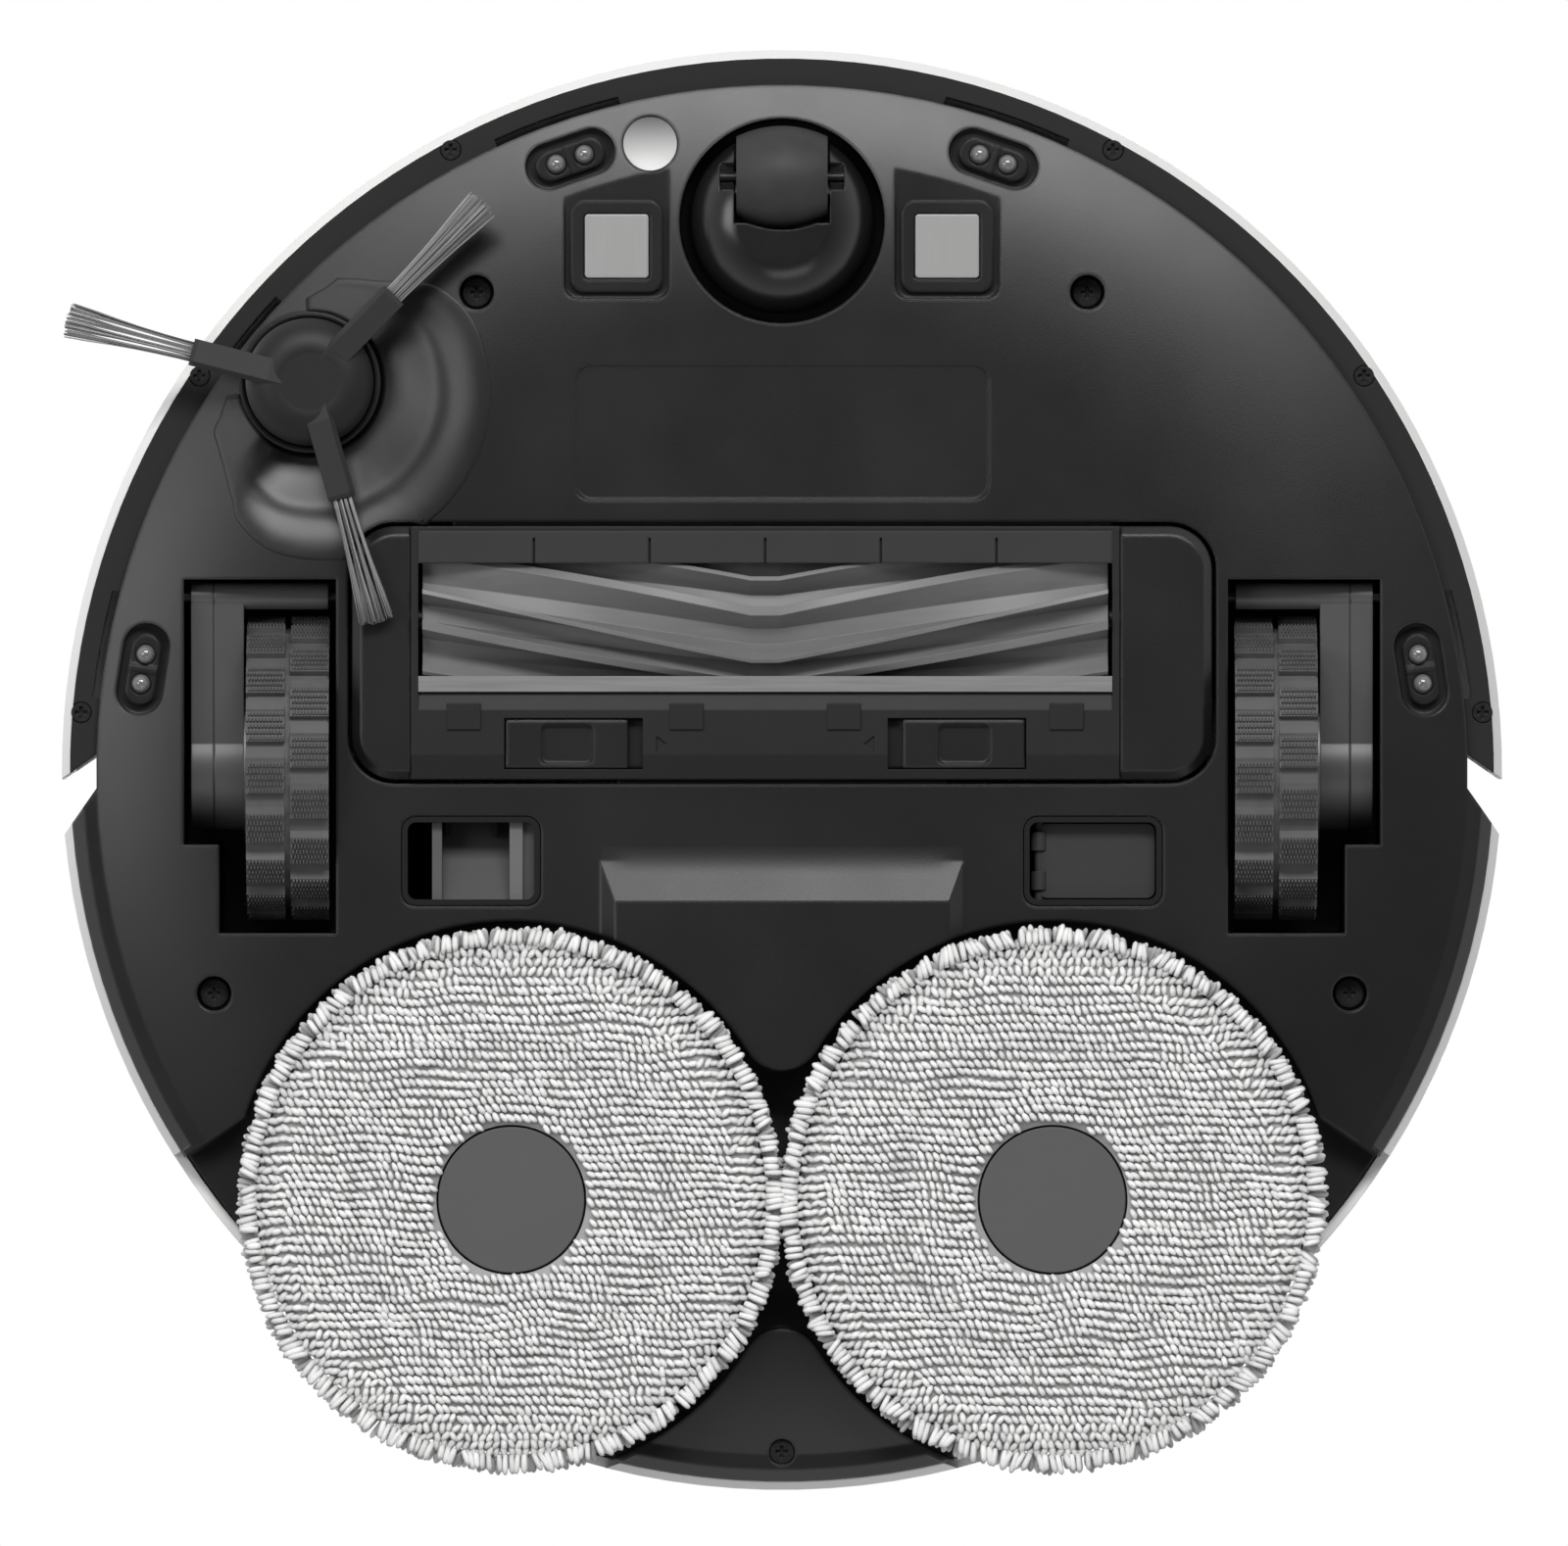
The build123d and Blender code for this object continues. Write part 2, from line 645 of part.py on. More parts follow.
def above_underside():
    """All space above the chassis underside, inside the rear band."""
    outer = LIP_R - RIM_W / 2
    edges = [
        line((0, CLEARANCE), (BEVEL_R, CLEARANCE)),
        rim_arc(EDGE_R, 0),
        line((EDGE_R, EDGE_Z), (outer, EDGE_Z), (outer, FAR), (0, FAR), (0, CLEARANCE)),
    ]
    return turned(*edges)


def chassis_plate():
    """The bare plate with a solid flange at its edge, before its underside is cut to shape."""
    full = drum(0, 0, EDGE_R, 0, FLANGE_Z)
    hollow = turned(
        line((0, FLOOR_Z), (BEVEL_R, FLOOR_Z)),
        rim_arc(FLANGE_R, PLATE),
        line((FLANGE_R, rim_height(FLANGE_R) + PLATE), (FLANGE_R, FAR), (0, FAR), (0, FLOOR_Z)),
    )
    return full - hollow


def rear_band():
    """The chassis round the rear, out to the white rim, with its bevelled edge."""
    inner = SHELL_R
    outer = LIP_R - SEAM
    bevel = [(outer - BAND_W, EDGE_Z), (outer, EDGE_Z + BAND_W)]
    outline = line((inner, EDGE_Z), *bevel, (outer, SKIN_Z), (inner, SKIN_Z), (inner, EDGE_Z))
    return turned(outline) & rear_region(0, FAR)


def chassis():
    """Bottom tray of the robot, with every well, pocket and boss."""
    socket_boss = drum(0, CASTER_Y, SOCKET_R + SOCKET_WALL, 0, SOCKET_SEAT_Z)
    collars = both_sides(prism(well_outline(WELL_WALL), 0, EDGE_Z))
    screw_bosses = [drum(x, y, SCREW_BOSS_R, 0, SCREW_BOSS_TOP) for x, y in CHASSIS_SCREWS]
    contact_backs = both_sides(
        block(CONTACT_X - FRAME_W / 2 - 2 * PLATE, CONTACT_X + FRAME_W / 2 + 2 * PLATE,
              CONTACT_Y - FRAME_W / 2 - 2 * PLATE, CONTACT_Y + FRAME_W, 0, POCKET_ROOF + PLATE))
    rails = [
        block(x, x + RAIL_W, BATTERY_Y0, BATTERY_Y1, 0, BATTERY_Z)
        for x in (BATTERY_X0, BATTERY_X1 - RAIL_W)
    ]
    fan_seat = drum(FAN_X, FAN_Y, FAN_FOOT_R, 0, BATTERY_Z)
    mop_roof = mop_recess(RECESS_WALL, 0, RECESS_TOP)
    dish_back = dish(DISH_WALL) & Cylinder(SHELL_R, FAR, align=UP)
    bosses = [socket_boss, mop_roof, fan_seat, dish_back, *collars, *screw_bosses, *contact_backs, *rails]
    body = (chassis_plate() + bosses) & above_underside()
    body += rear_band()

    body -= mop_recess(0, 0, RECESS_Z)
    body -= dish(0) & Cylinder(SHELL_R - DISH_EDGE, FAR, align=UP)
    body += side_brush_bezel()
    body += raised_panel() - mop_recess(0, 0, RECESS_Z)
    guides = both_sides(drum(GUIDE_X, MOP_Y, GUIDE_R, RECESS_Z, CARRIAGE_TOP + MOP_LIFT + GUIDE_R))
    body += guides

    cuts = []
    cuts += both_sides(prism(well_outline(0), 0, DECK_Z))
    cuts += both_sides(prism(well_outline(WELL_WALL + SEAM), EDGE_Z, DECK_Z))
    cuts.append(round_block(-BAY_X, BAY_X, BAY_Y0, BAY_Y1, 0, DECK_Z, BAY_CORNER))
    cuts.append(drum(0, CASTER_Y, SOCKET_R, 0, DECK_Z))
    cuts += both_sides(contact_pocket())
    cliff_slot = extrude(SlotOverall(CLIFF_L, CLIFF_W), amount=CLIFF_Z)
    cuts += [cliff_place(angle, 0) * cliff_slot for angle in cliff_angles()]
    cuts.append(drum(CARPET_X, CARPET_Y, CARPET_R + SEAM, 0, CLIFF_Z))
    cuts += [drum(x, y, SCREW_HOLE_R, 0, SCREW_SEAT) for x, y in CHASSIS_SCREWS]
    cuts += [drum(x, y, SCREW_R + RUN, 0, FAR) for x, y in CHASSIS_SCREWS]
    rear_y = -EDGE_R + REAR_SCREW_INSET
    cuts.append(drum(0, rear_y, REAR_HOLE_R, 0, EDGE_Z + EDGE_T))
    cuts.append(drum(0, rear_y, SCREW_R + RUN, 0, FAR))
    groove = round_block(-LABEL_X, LABEL_X, LABEL_Y0, LABEL_Y1, 0, CLEARANCE + LABEL_DEPTH, LABEL_CORNER)
    cuts.append(groove)
    cuts += both_sides(round_block(PORT_X0, PORT_X1, PORT_Y0, PORT_Y1, 0, DECK_Z, PORT_CORNER))
    cuts += both_sides(drum(MOP_X, MOP_Y, SHAFT_R + SHAFT_PLAY, 0, FAR))
    cuts.append(drum(BRUSH_X, BRUSH_Y, SPINDLE_R + GAP, 0, FAR))
    return body - cuts


def side_brush_bezel():
    """Ring round the side brush hub, hung from the roof of the dish."""
    def tube(top):
        outer = drum(BRUSH_X, BRUSH_Y, BEZEL_R, HUB_TOP, top)
        return outer - drum(BRUSH_X, BRUSH_Y, BEZEL_R - BEZEL_WALL, HUB_TOP, top)

    return tube(FLANGE_Z) + (tube(DISH_ROOF + DISH_WALL) & Cylinder(SHELL_R, FAR, align=UP))


def raised_panel():
    """The lower panel that runs back between the mops."""
    back = MOP_Y

    def outline(x, y, z):
        return Pos(0, 0, z) * make_face(Polyline((-x, back), (x, back), (x, y), (-x, y), close=True))

    low = CLEARANCE - PANEL_DROP
    wedge = loft([outline(PANEL_X, PANEL_Y, CLEARANCE), outline(PANEL_FLAT_X, PANEL_FLAT_Y, low)], ruled=True)
    return wedge


def contact_pocket():
    """Level pocket round a charging contact, running out through the sloping front."""
    half = FRAME_W / 2 + POCKET_MARGIN
    rear = CONTACT_Y - half
    return round_block(CONTACT_X - half, CONTACT_X + half, rear, EDGE_R, 0, POCKET_ROOF, FRAME_CORNER)


def upper_shell():
    """White upper housing: inner wall, deck and the rear half of the outer wall."""
    wall = ring(SHELL_R - SHELL_WALL, SHELL_R, FLANGE_Z, DECK_TOP)
    deck = Cylinder(SHELL_R, DECK_T, align=UP).moved(Pos(0, 0, DECK_Z))
    rear = side_wall() + ring(SHELL_R - SHELL_WALL, BODY_R - SHOULDER_R, DECK_Z, DECK_TOP)
    shell = wall + deck + (rear & rear_region(0, FAR))
    shell += [drum(x, y, POST_R, SCREW_BOSS_TOP, DECK_Z) for x, y in CHASSIS_SCREWS]
    shell += drum(0, -EDGE_R + REAR_SCREW_INSET, POST_R, SKIN_Z, DECK_Z)
    margin = 2 * POST_R
    shell += [
        drum(x, y, POST_R - 1, BOARD_TOP, DECK_Z)
        for x in (-BOARD_X + margin, BOARD_X - margin)
        for y in (BOARD_Y0 + margin, BOARD_Y1 - margin)
    ]
    shell += drum(0, TURRET_Y, HEAD_POST_R, DECK_Z, DECK_TOP + HEAD_POST_H)
    island = extrude(SlotOverall(ISLAND_L, ISLAND_W), amount=ISLAND_TOP - DECK_TOP)
    shell += Pos(0, BUTTON_Y, DECK_TOP) * island
    cuts = [mop_recess(RECESS_WALL + SEAM, 0, RECESS_TOP + SEAM)]
    cuts.append(drum(0, CASTER_Y, SOCKET_R + SOCKET_WALL + SEAM, 0, SOCKET_TOP + SEAM))
    cuts.append(drum(BRUSH_X, BRUSH_Y, DISH_R + DISH_WALL, 0, DISH_ROOF + DISH_WALL + SEAM))
    cuts.append(block(-BIN_X - BIN_PLAY, BIN_X + BIN_PLAY, BIN_Y0 - BIN_PLAY, BIN_Y1 + BIN_PLAY, DECK_Z, FAR))
    well_floor = ISLAND_TOP - BUTTON_CAP_T + BUTTON_PROUD - 2 * BUTTON_TRAVEL
    for side in (1, -1):
        x = side * BUTTON_PITCH / 2
        cuts.append(drum(x, BUTTON_Y, BUTTON_R + RUN, well_floor, FAR))
        cuts.append(drum(x, BUTTON_Y, STEM_R + RUN, DECK_Z, FAR))
    pilot_top = SCREW_SEAT + SCREW_HEAD_T + 2 * SCREW_L
    cuts += [drum(x, y, SCREW_R + RUN, 0, pilot_top) for x, y in CHASSIS_SCREWS]
    cuts.append(drum(0, -EDGE_R + REAR_SCREW_INSET, SCREW_R + RUN, 0, pilot_top))
    return shell - cuts


def top_cover():
    """Lift-off top cover, with finger notches at both sides."""
    bevel = [(COVER_R, COVER_TOP - COVER_BEVEL), (COVER_R - COVER_BEVEL, COVER_TOP)]
    outline = line((0, COVER_TOP), (0, COVER_Z), (COVER_R, COVER_Z), *bevel, (0, COVER_TOP))
    cover = Rot(0, 0, SEAM_TURN) * turned(outline)
    cover -= drum(0, TURRET_Y, TURRET_R + 2 * GAP, 0, FAR)
    cover -= extrude(Pos(0, BUTTON_Y, 0) * SlotOverall(ISLAND_L + 2 * GAP, ISLAND_W + 2 * GAP), amount=FAR)
    return cover - notches(0, FAR)


def button(x):
    """A round push button on its stem."""
    top = ISLAND_TOP + BUTTON_PROUD
    cap = drum(x, BUTTON_Y, BUTTON_R, top - BUTTON_CAP_T, top)
    cap = fillet(cap.edges().group_by(Axis.Z)[-1], BUTTON_PROUD / 2)
    return cap + drum(x, BUTTON_Y, STEM_R, BOARD_TOP + BUTTON_TRAVEL + 0.1, top - BUTTON_CAP_T)


def lidar_cover():
    """Scanner turret: a cap on three posts over an open slot."""
    z0, z1 = DECK_TOP, DECK_TOP + TURRET_H
    cap = drum(0, TURRET_Y, TURRET_R, z0, z1)
    cap = fillet(cap.edges().group_by(Axis.Z)[-1], TURRET_WALL)
    cap -= drum(0, TURRET_Y, TURRET_R - TURRET_WALL, z0, z1 - TURRET_WALL)
    slot = ring(HEAD_R + GAP, TURRET_R + GAP, z0 + SLOT_LOW, z0 + SLOT_LOW + SLOT_H)
    posts = [Rot(0, 0, turn) * block(0, TURRET_R + 1, -2, 2, z0, z1) for turn in (30, 150, 270)]
    return cap - Pos(0, TURRET_Y, 0) * (slot - posts)


def lidar_head():
    """Spinning scanner head on its post."""
    z0 = DECK_TOP + HEAD_POST_H
    head = drum(0, TURRET_Y, HEAD_R, z0, z0 + HEAD_H)
    window_z = DECK_TOP + SLOT_LOW + SLOT_H / 2
    eyes = [rod_y(x, TURRET_Y + HEAD_R - 4, TURRET_Y + HEAD_R + 1, window_z, 4.0) for x in (-9, 9)]
    return head - eyes


def main_board():
    """Printed board under the deck, with its chips."""
    board = round_block(-BOARD_X, BOARD_X, BOARD_Y0, BOARD_Y1, BOARD_TOP - BOARD_T, BOARD_TOP, BOARD_T)
    y0, low = BOARD_Y0 + CHIP, BOARD_TOP - 3 * BOARD_T
    starts = [BOARD_X * share for share in (-0.65, -0.16, 0.32)]
    chips = [block(x, x + CHIP, y0, y0 + CHIP, low, BOARD_TOP - BOARD_T) for x in starts]
    return board + chips


def bumper_skin():
    """White outer wall of the bumper, with the bosses for the lip screws."""
    skin = side_wall() & front_region(0, FAR)
    for angle in LIP_SCREW_ANGLES:
        for side in (1, -1):
            place = around(LIP_SCREW_R0, side * angle, SKIN_Z)
            boss = place * Cylinder(LIP_BOSS_R, LIP_BOSS_H, align=UP)
            skin += boss & Cylinder(BODY_R - SKIN / 2, FAR, align=UP)
            skin -= place * Cylinder(LIP_SCREW_R + RUN, LIP_SCREW_L, align=UP)
    return skin


def bumper_lip():
    """Black ring under the bumper, lying just above the chassis edge."""
    lip = ring(EDGE_R - LIP_TUCK, LIP_R - SEAM, LIP_Z, SKIN_Z) & front_region(0, FAR)
    for start, end in LIP_SLOTS:
        mid = math.radians((start + end) / 2)
        half = math.radians((end - start) / 2)
        reach = EDGE_R + LIP_SLOT_W
        chord = reach * math.sin(half)
        slot = block(-chord, chord, EDGE_R * math.cos(half) - LIP_SLOT_W, reach + LIP_SLOT_W, LIP_Z, SKIN_Z)
        slot = Rot(0, 0, -math.degrees(mid)) * slot
        lip -= slot & ring(EDGE_R - SEAM, reach, LIP_Z, SKIN_Z)
    for angle in LIP_SCREW_ANGLES:
        for side in (1, -1):
            place = around(LIP_SCREW_R0, side * angle, LIP_Z)
            lip -= place * Cylinder(LIP_SCREW_HEAD_R + SEAM, LIP_SCREW_HEAD_T + SEAM, align=UP)
            lip -= place * Cylinder(LIP_SCREW_R + RUN, LIP_T, align=UP)
    return lip


def screw(head_r, head_t, shank_r, shank_l):
    """A cross-head screw pointing up, its head's lower face at z = 0."""
    body = Cylinder(head_r, head_t, align=UP) + Cylinder(shank_r, head_t + shank_l, align=UP)
    cross = [Box(CROSS_L, CROSS_W, 2 * CROSS_DEPTH), Box(CROSS_W, CROSS_L, 2 * CROSS_DEPTH)]
    return body - cross


def bumper_screws():
    """Six screws that hold the lip to the skin."""
    one = screw(LIP_SCREW_HEAD_R, LIP_SCREW_HEAD_T, LIP_SCREW_R, LIP_SCREW_L)
    places = [around(LIP_SCREW_R0, side * a, LIP_Z + SEAM) for a in LIP_SCREW_ANGLES for side in (1, -1)]
    return Compound(children=[place * one for place in places])


def chassis_screws():
    """Five screws that hold the chassis to the upper shell."""
    one = screw(SCREW_HEAD_R, SCREW_HEAD_T, SCREW_R, SCREW_L)
    small = screw(REAR_HOLE_R - SEAM, EDGE_T, SCREW_R, SCREW_L)
    solids = [Pos(x, y, SCREW_SEAT - SCREW_HEAD_T) * one for x, y in CHASSIS_SCREWS]
    solids.append(Pos(0, -EDGE_R + REAR_SCREW_INSET, EDGE_Z) * small)
    return Compound(children=solids)


def caster_socket():
    """Cup over the caster, with the bush for its stem."""
    cup = drum(0, CASTER_Y, SOCKET_R + SOCKET_WALL, SOCKET_SEAT_Z, SOCKET_TOP)
    cup -= drum(0, CASTER_Y, SOCKET_R, SOCKET_SEAT_Z, SOCKET_TOP - SOCKET_ROOF)
    return cup - drum(0, CASTER_Y, STEM_BUSH_R + RUN, 0, FAR)


def caster_fork():
    """Glossy swivel dome with the slot for its wheel."""
    low, mid = FORK_LOW, FORK_SHOULDER_Z
    knee = (FORK_R * 0.86, low + (mid - low) * 0.42)
    dome = turned(
        line((0, FORK_TOP), (0, low), (FORK_R * 0.5, low)),
        arc((FORK_R * 0.5, low), knee, (FORK_R, mid)),
        line((FORK_R, mid), (FORK_R, FORK_TOP), (0, FORK_TOP)),
    )
    fork = Pos(0, CASTER_Y, 0) * Rot(0, 0, -2 * SEAM_TURN) * dome
    fork += drum(0, CASTER_Y, STEM_BUSH_R, FORK_TOP, SOCKET_TOP)
    wheel_y = CASTER_Y + CASTER_TRAIL
    half = CASTER_W / 2 + 2 * GAP
    fork -= rod(-half, half, wheel_y, CASTER_R, CASTER_R + 2 * GAP)
    bow = (half ** 2 + WHEEL_SLOT_SAG ** 2) / (2 * WHEEL_SLOT_SAG)
    rear = drum(0, wheel_y - CASTER_R - 2 * GAP + bow, bow, 0, 2 * CASTER_R)
    fork -= rear & block(-half, half, wheel_y - 2 * CASTER_R, wheel_y, 0, 2 * CASTER_R)
    fork -= block(-half, half, wheel_y, wheel_y + 2 * CASTER_R, 0, 2 * CASTER_R)
    fork -= rod(-CASTER_PIN_L / 2, CASTER_PIN_L / 2, wheel_y, CASTER_R, CASTER_PIN_R)
    for x0 in (-CASTER_PIN_L / 2, half):
        x1 = x0 + CASTER_PIN_L / 2 - half
        fork -= block(x0, x1, wheel_y - PIN_POCKET, wheel_y + PIN_POCKET, 0, CASTER_R)
    return fork


def caster_wheel():
    """Barrel-shaped front wheel."""
    half = CASTER_W / 2
    crown = Spline((-half, CASTER_END_R, 0), (0, CASTER_R, 0), (half, CASTER_END_R, 0))
    bore = CASTER_PIN_R + RUN
    sides = Polyline((half, CASTER_END_R, 0), (half, bore, 0), (-half, bore, 0), (-half, CASTER_END_R, 0))
    wheel = revolve(make_face([crown, sides]), Axis.X)
    return Pos(0, CASTER_Y + CASTER_TRAIL, CASTER_R) * wheel


def caster_axle():
    """Steel pin of the front wheel."""
    return rod(-CASTER_PIN_L / 2, CASTER_PIN_L / 2, CASTER_Y + CASTER_TRAIL, CASTER_R, CASTER_PIN_R)


def contact_frames():
    """Dark frames round the charging contacts."""
    half = FRAME_W / 2
    frame = round_block(CONTACT_X - half, CONTACT_X + half, CONTACT_Y - half, CONTACT_Y + half,
                        POCKET_ROOF - FRAME_T, POCKET_ROOF, FRAME_CORNER)
    inner = CONTACT_W / 2 + SEAM
    frame -= round_block(CONTACT_X - inner, CONTACT_X + inner, CONTACT_Y - inner, CONTACT_Y + inner,
                         0, POCKET_ROOF, 1.0)
    return Compound(children=both_sides(frame))


def charge_contacts():
    """Two metal charging plates, standing a little below their frames."""
    half = CONTACT_W / 2
    plate = round_block(CONTACT_X - half, CONTACT_X + half, CONTACT_Y - half, CONTACT_Y + half,
                        POCKET_ROOF - FRAME_T - GAP, POCKET_ROOF, 0.9)
    plate = fillet(plate.edges().group_by(Axis.Z)[0], GAP)
    return Compound(children=both_sides(plate))


def carpet_sensor():
    """Round ultrasonic sensor with a dished face."""
    top = CLIFF_Z
    low = rim_height(math.hypot(CARPET_X, CARPET_Y)) + GAP
    sag = CARPET_DISH
    sphere_r = (CARPET_R ** 2 + sag ** 2) / (2 * sag)
    disc = drum(CARPET_X, CARPET_Y, CARPET_R, low, top)
    return disc - Pos(CARPET_X, CARPET_Y, low + sag - sphere_r) * Sphere(sphere_r)


def cliff_sensors():
    """Four sensor blocks in their pockets, each with two lens seats."""
    one = extrude(SlotOverall(CLIFF_BLOCK_L, CLIFF_BLOCK_W), amount=CLIFF_BLOCK_T)
    one += Pos(0, 0, -GAP) * Box(CLIFF_BAR, CLIFF_BLOCK_W, CLIFF_BLOCK_T, align=UP)
    for x in (-LENS_PITCH / 2, LENS_PITCH / 2):
        one -= Pos(x, 0, 0) * Cylinder(LENS_R + RUN, CLIFF_BLOCK_T)
    return Compound(children=[cliff_place(angle, CLIFF_Z - CLIFF_BLOCK_T) * one for angle in cliff_angles()])


def cliff_lenses():
    """Eight domed lenses, two in each cliff sensor."""
    dome = Sphere(LENS_R) & Box(3 * LENS_R, 3 * LENS_R, LENS_R, align=(Align.CENTER, Align.CENTER, Align.MAX))
    dome += Cylinder(LENS_R, CLIFF_BLOCK_T / 2, align=UP)
    solids = []
    for angle in cliff_angles():
        for x in (-LENS_PITCH / 2, LENS_PITCH / 2):
            solids.append(cliff_place(angle, CLIFF_Z - CLIFF_BLOCK_T) * Pos(x, 0, 0) * dome)
    return Compound(children=solids)


def wheel_box():
    """Housing over the right wheel well."""
    box = prism(well_outline(WELL_WALL), EDGE_Z, BOX_TOP)
    box -= prism(well_outline(0), 0, BOX_TOP - WELL_WALL)
    return box - rod(WELL_X0 - 2 * WELL_WALL, WELL_X1 + 2 * WELL_WALL, PIVOT_Y, PIVOT_Z, PIN_R)


def arm_pins():
    """Steel pivot pins of both wheel arms."""
    pin = rod(WELL_X0 - WELL_WALL, WELL_X1 + WELL_WALL, PIVOT_Y, PIVOT_Z, PIN_R)
    return Compound(children=both_sides(pin))


def spring_seat_top():
    """Upper face of the arm's spring seat."""
    return WHEEL_R + ARM_R + SPRING_SEAT_T


def wheel_arm():
    """Right gearbox arm: a swinging housing beside the wheel, with its cross bar."""
    end = Pos(0, WHEEL_Y, WHEEL_R) * Rot(0, 90, 0) * Cylinder(ARM_R, ARM_W)
    root = Pos(0, PIVOT_Y, PIVOT_Z) * Rot(0, 90, 0) * Cylinder(BAR_R, ARM_W)
    span = math.hypot(PIVOT_Y - WHEEL_Y, WHEEL_R - PIVOT_Z)
    lean = math.asin((ARM_R - BAR_R) / span)
    slope = math.atan2(WHEEL_R - PIVOT_Z, WHEEL_Y - PIVOT_Y)

    def touch(y, z, radius, side):
        turn = slope + side * (math.pi / 2 + lean) + math.pi
        return (0, y + radius * math.cos(turn), z + radius * math.sin(turn))

    corners = [
        touch(PIVOT_Y, PIVOT_Z, BAR_R, 1),
        touch(WHEEL_Y, WHEEL_R, ARM_R, 1),
        touch(WHEEL_Y, WHEEL_R, ARM_R, -1),
        touch(PIVOT_Y, PIVOT_Z, BAR_R, -1),
    ]
    web = extrude(make_face(Polyline(*corners, close=True)), amount=ARM_W / 2, both=True)
    arm = Pos((ARM_X0 + ARM_X1) / 2, 0, 0) * (web + end + root)
    arm += rod(TYRE_X0 + GAP, ARM_X1, PIVOT_Y, PIVOT_Z, BAR_R)
    seat_x = (ARM_X0 + ARM_X1) / 2
    arm += drum(seat_x, WHEEL_Y + SPRING_Y, SPRING_R + 1.5, WHEEL_R, spring_seat_top())
    arm -= rod(0, FAR, PIVOT_Y, PIVOT_Z, PIN_R + RUN)
    return arm


def wheel_motor():
    """Right gear motor, fixed to the arm and reaching into the wheel."""
    start = TYRE_X0 + WEB_T + ROLLER_PLAY
    motor = rod(start, ARM_X0, WHEEL_Y, WHEEL_R, MOTOR_R)
    return motor - rod(start, ARM_X0 - WEB_T, WHEEL_Y, WHEEL_R, AXLE_R + RUN)


def wheel_hub():
    """Right wheel hub: rim, web and the axle that runs in the motor."""
    hub = rod(TYRE_X0, TYRE_X1, WHEEL_Y, WHEEL_R, HUB_RIM_R)
    hub -= rod(TYRE_X0 + WEB_T, TYRE_X1, WHEEL_Y, WHEEL_R, HUB_RIM_R - RIM_T)
    return hub + rod(TYRE_X0, ARM_X0 - WEB_T - ROLLER_PLAY, WHEEL_Y, WHEEL_R, AXLE_R)


def tyre():
    """Right tyre: a carcass with two staggered rows of lugs."""
    carcass = rod(TYRE_X0, TYRE_X1, 0, 0, TYRE_R) - rod(TYRE_X0, TYRE_X1, 0, 0, HUB_RIM_R)
    row_w = (TYRE_W - LUG_ROW_GAP) / 2
    pitch = 360 / LUG_COUNT
    lugs = []
    for row, x0 in enumerate((TYRE_X0, TYRE_X1 - row_w)):
        for index in range(LUG_COUNT):
            lug = block(x0, x0 + row_w, -LUG_LENGTH / 2, LUG_LENGTH / 2, -WHEEL_R - 1, -TYRE_R + 0.8)
            lugs.append(Rot((index + 0.5 * row) * pitch, 0, 0) * lug)
    tread = Compound(children=lugs) & rod(TYRE_X0, TYRE_X1, 0, 0, WHEEL_R)
    return Pos(0, WHEEL_Y, WHEEL_R) * (carcass + tread.solids())


def suspension_spring():
    """Right compression spring between the arm's seat and the wheel box."""
    z0, z1 = spring_seat_top(), BOX_TOP - WELL_WALL
    x, y = (ARM_X0 + ARM_X1) / 2, WHEEL_Y + SPRING_Y
    rise = z1 - z0 - 2 * SPRING_WIRE
    steps = 4 * SPRING_TURNS
    points = []
    for step in range(steps + 1):
        turn = 2 * math.pi * step / 4
        height = z0 + SPRING_WIRE + rise * step / steps
        points.append(Vector(x + SPRING_R * math.cos(turn), y + SPRING_R * math.sin(turn), height))
    tangent = Vector(0, SPRING_R, 2 * rise / (math.pi * SPRING_TURNS) / 4)
    edges = []
    for start, end in zip(points, points[1:]):
        edge = TangentArc(start, end, tangent=tangent)
        tangent = edge % 1
        edges.append(edge)
    path = Wire(edges)
    places = [path @ (index / (40 * SPRING_TURNS)) for index in range(40 * SPRING_TURNS + 1)]
    nearest = min((a - b).length for i, a in enumerate(places) for b in places[i + 20:])
    print("spring: least gap to itself", round(nearest - 2 * SPRING_WIRE, 2))
    profile = Plane(origin=path @ 0, z_dir=path % 0) * Circle(SPRING_WIRE)
    return sweep(profile, path=path)


def side_brush_hub():
    """Side brush: dome, three arms and the spindle."""
    dome = turned(
        line((0, HUB_TOP), (0, HUB_LOW), (HUB_R * 0.45, HUB_LOW)),
        arc((HUB_R * 0.45, HUB_LOW), (HUB_R * 0.84, HUB_LOW + 1.6), (HUB_R, HUB_LOW + 4.4)),
        line((HUB_R, HUB_LOW + 4.4), (HUB_R, HUB_TOP), (0, HUB_TOP)),
    )
    dome += drum(0, 0, SPINDLE_R, HUB_TOP, DISH_ROOF + DISH_WALL + SPINDLE_ENTRY)
    end = ARM_LENGTH - BACKING
    bar = block(HUB_R / 2, end, -ARM_WIDTH / 2, ARM_WIDTH / 2, ARM_END_Z, ARM_END_Z + ARM_HEIGHT)
    bar = chamfer(bar.edges().filter_by(Axis.X).group_by(Axis.Z)[0], ARM_BEVEL)
    dome += [Rot(0, 0, BRUSH_ANGLE + 120 * arm) * bar for arm in range(3)]
    return Pos(BRUSH_X, BRUSH_Y, 0) * dome


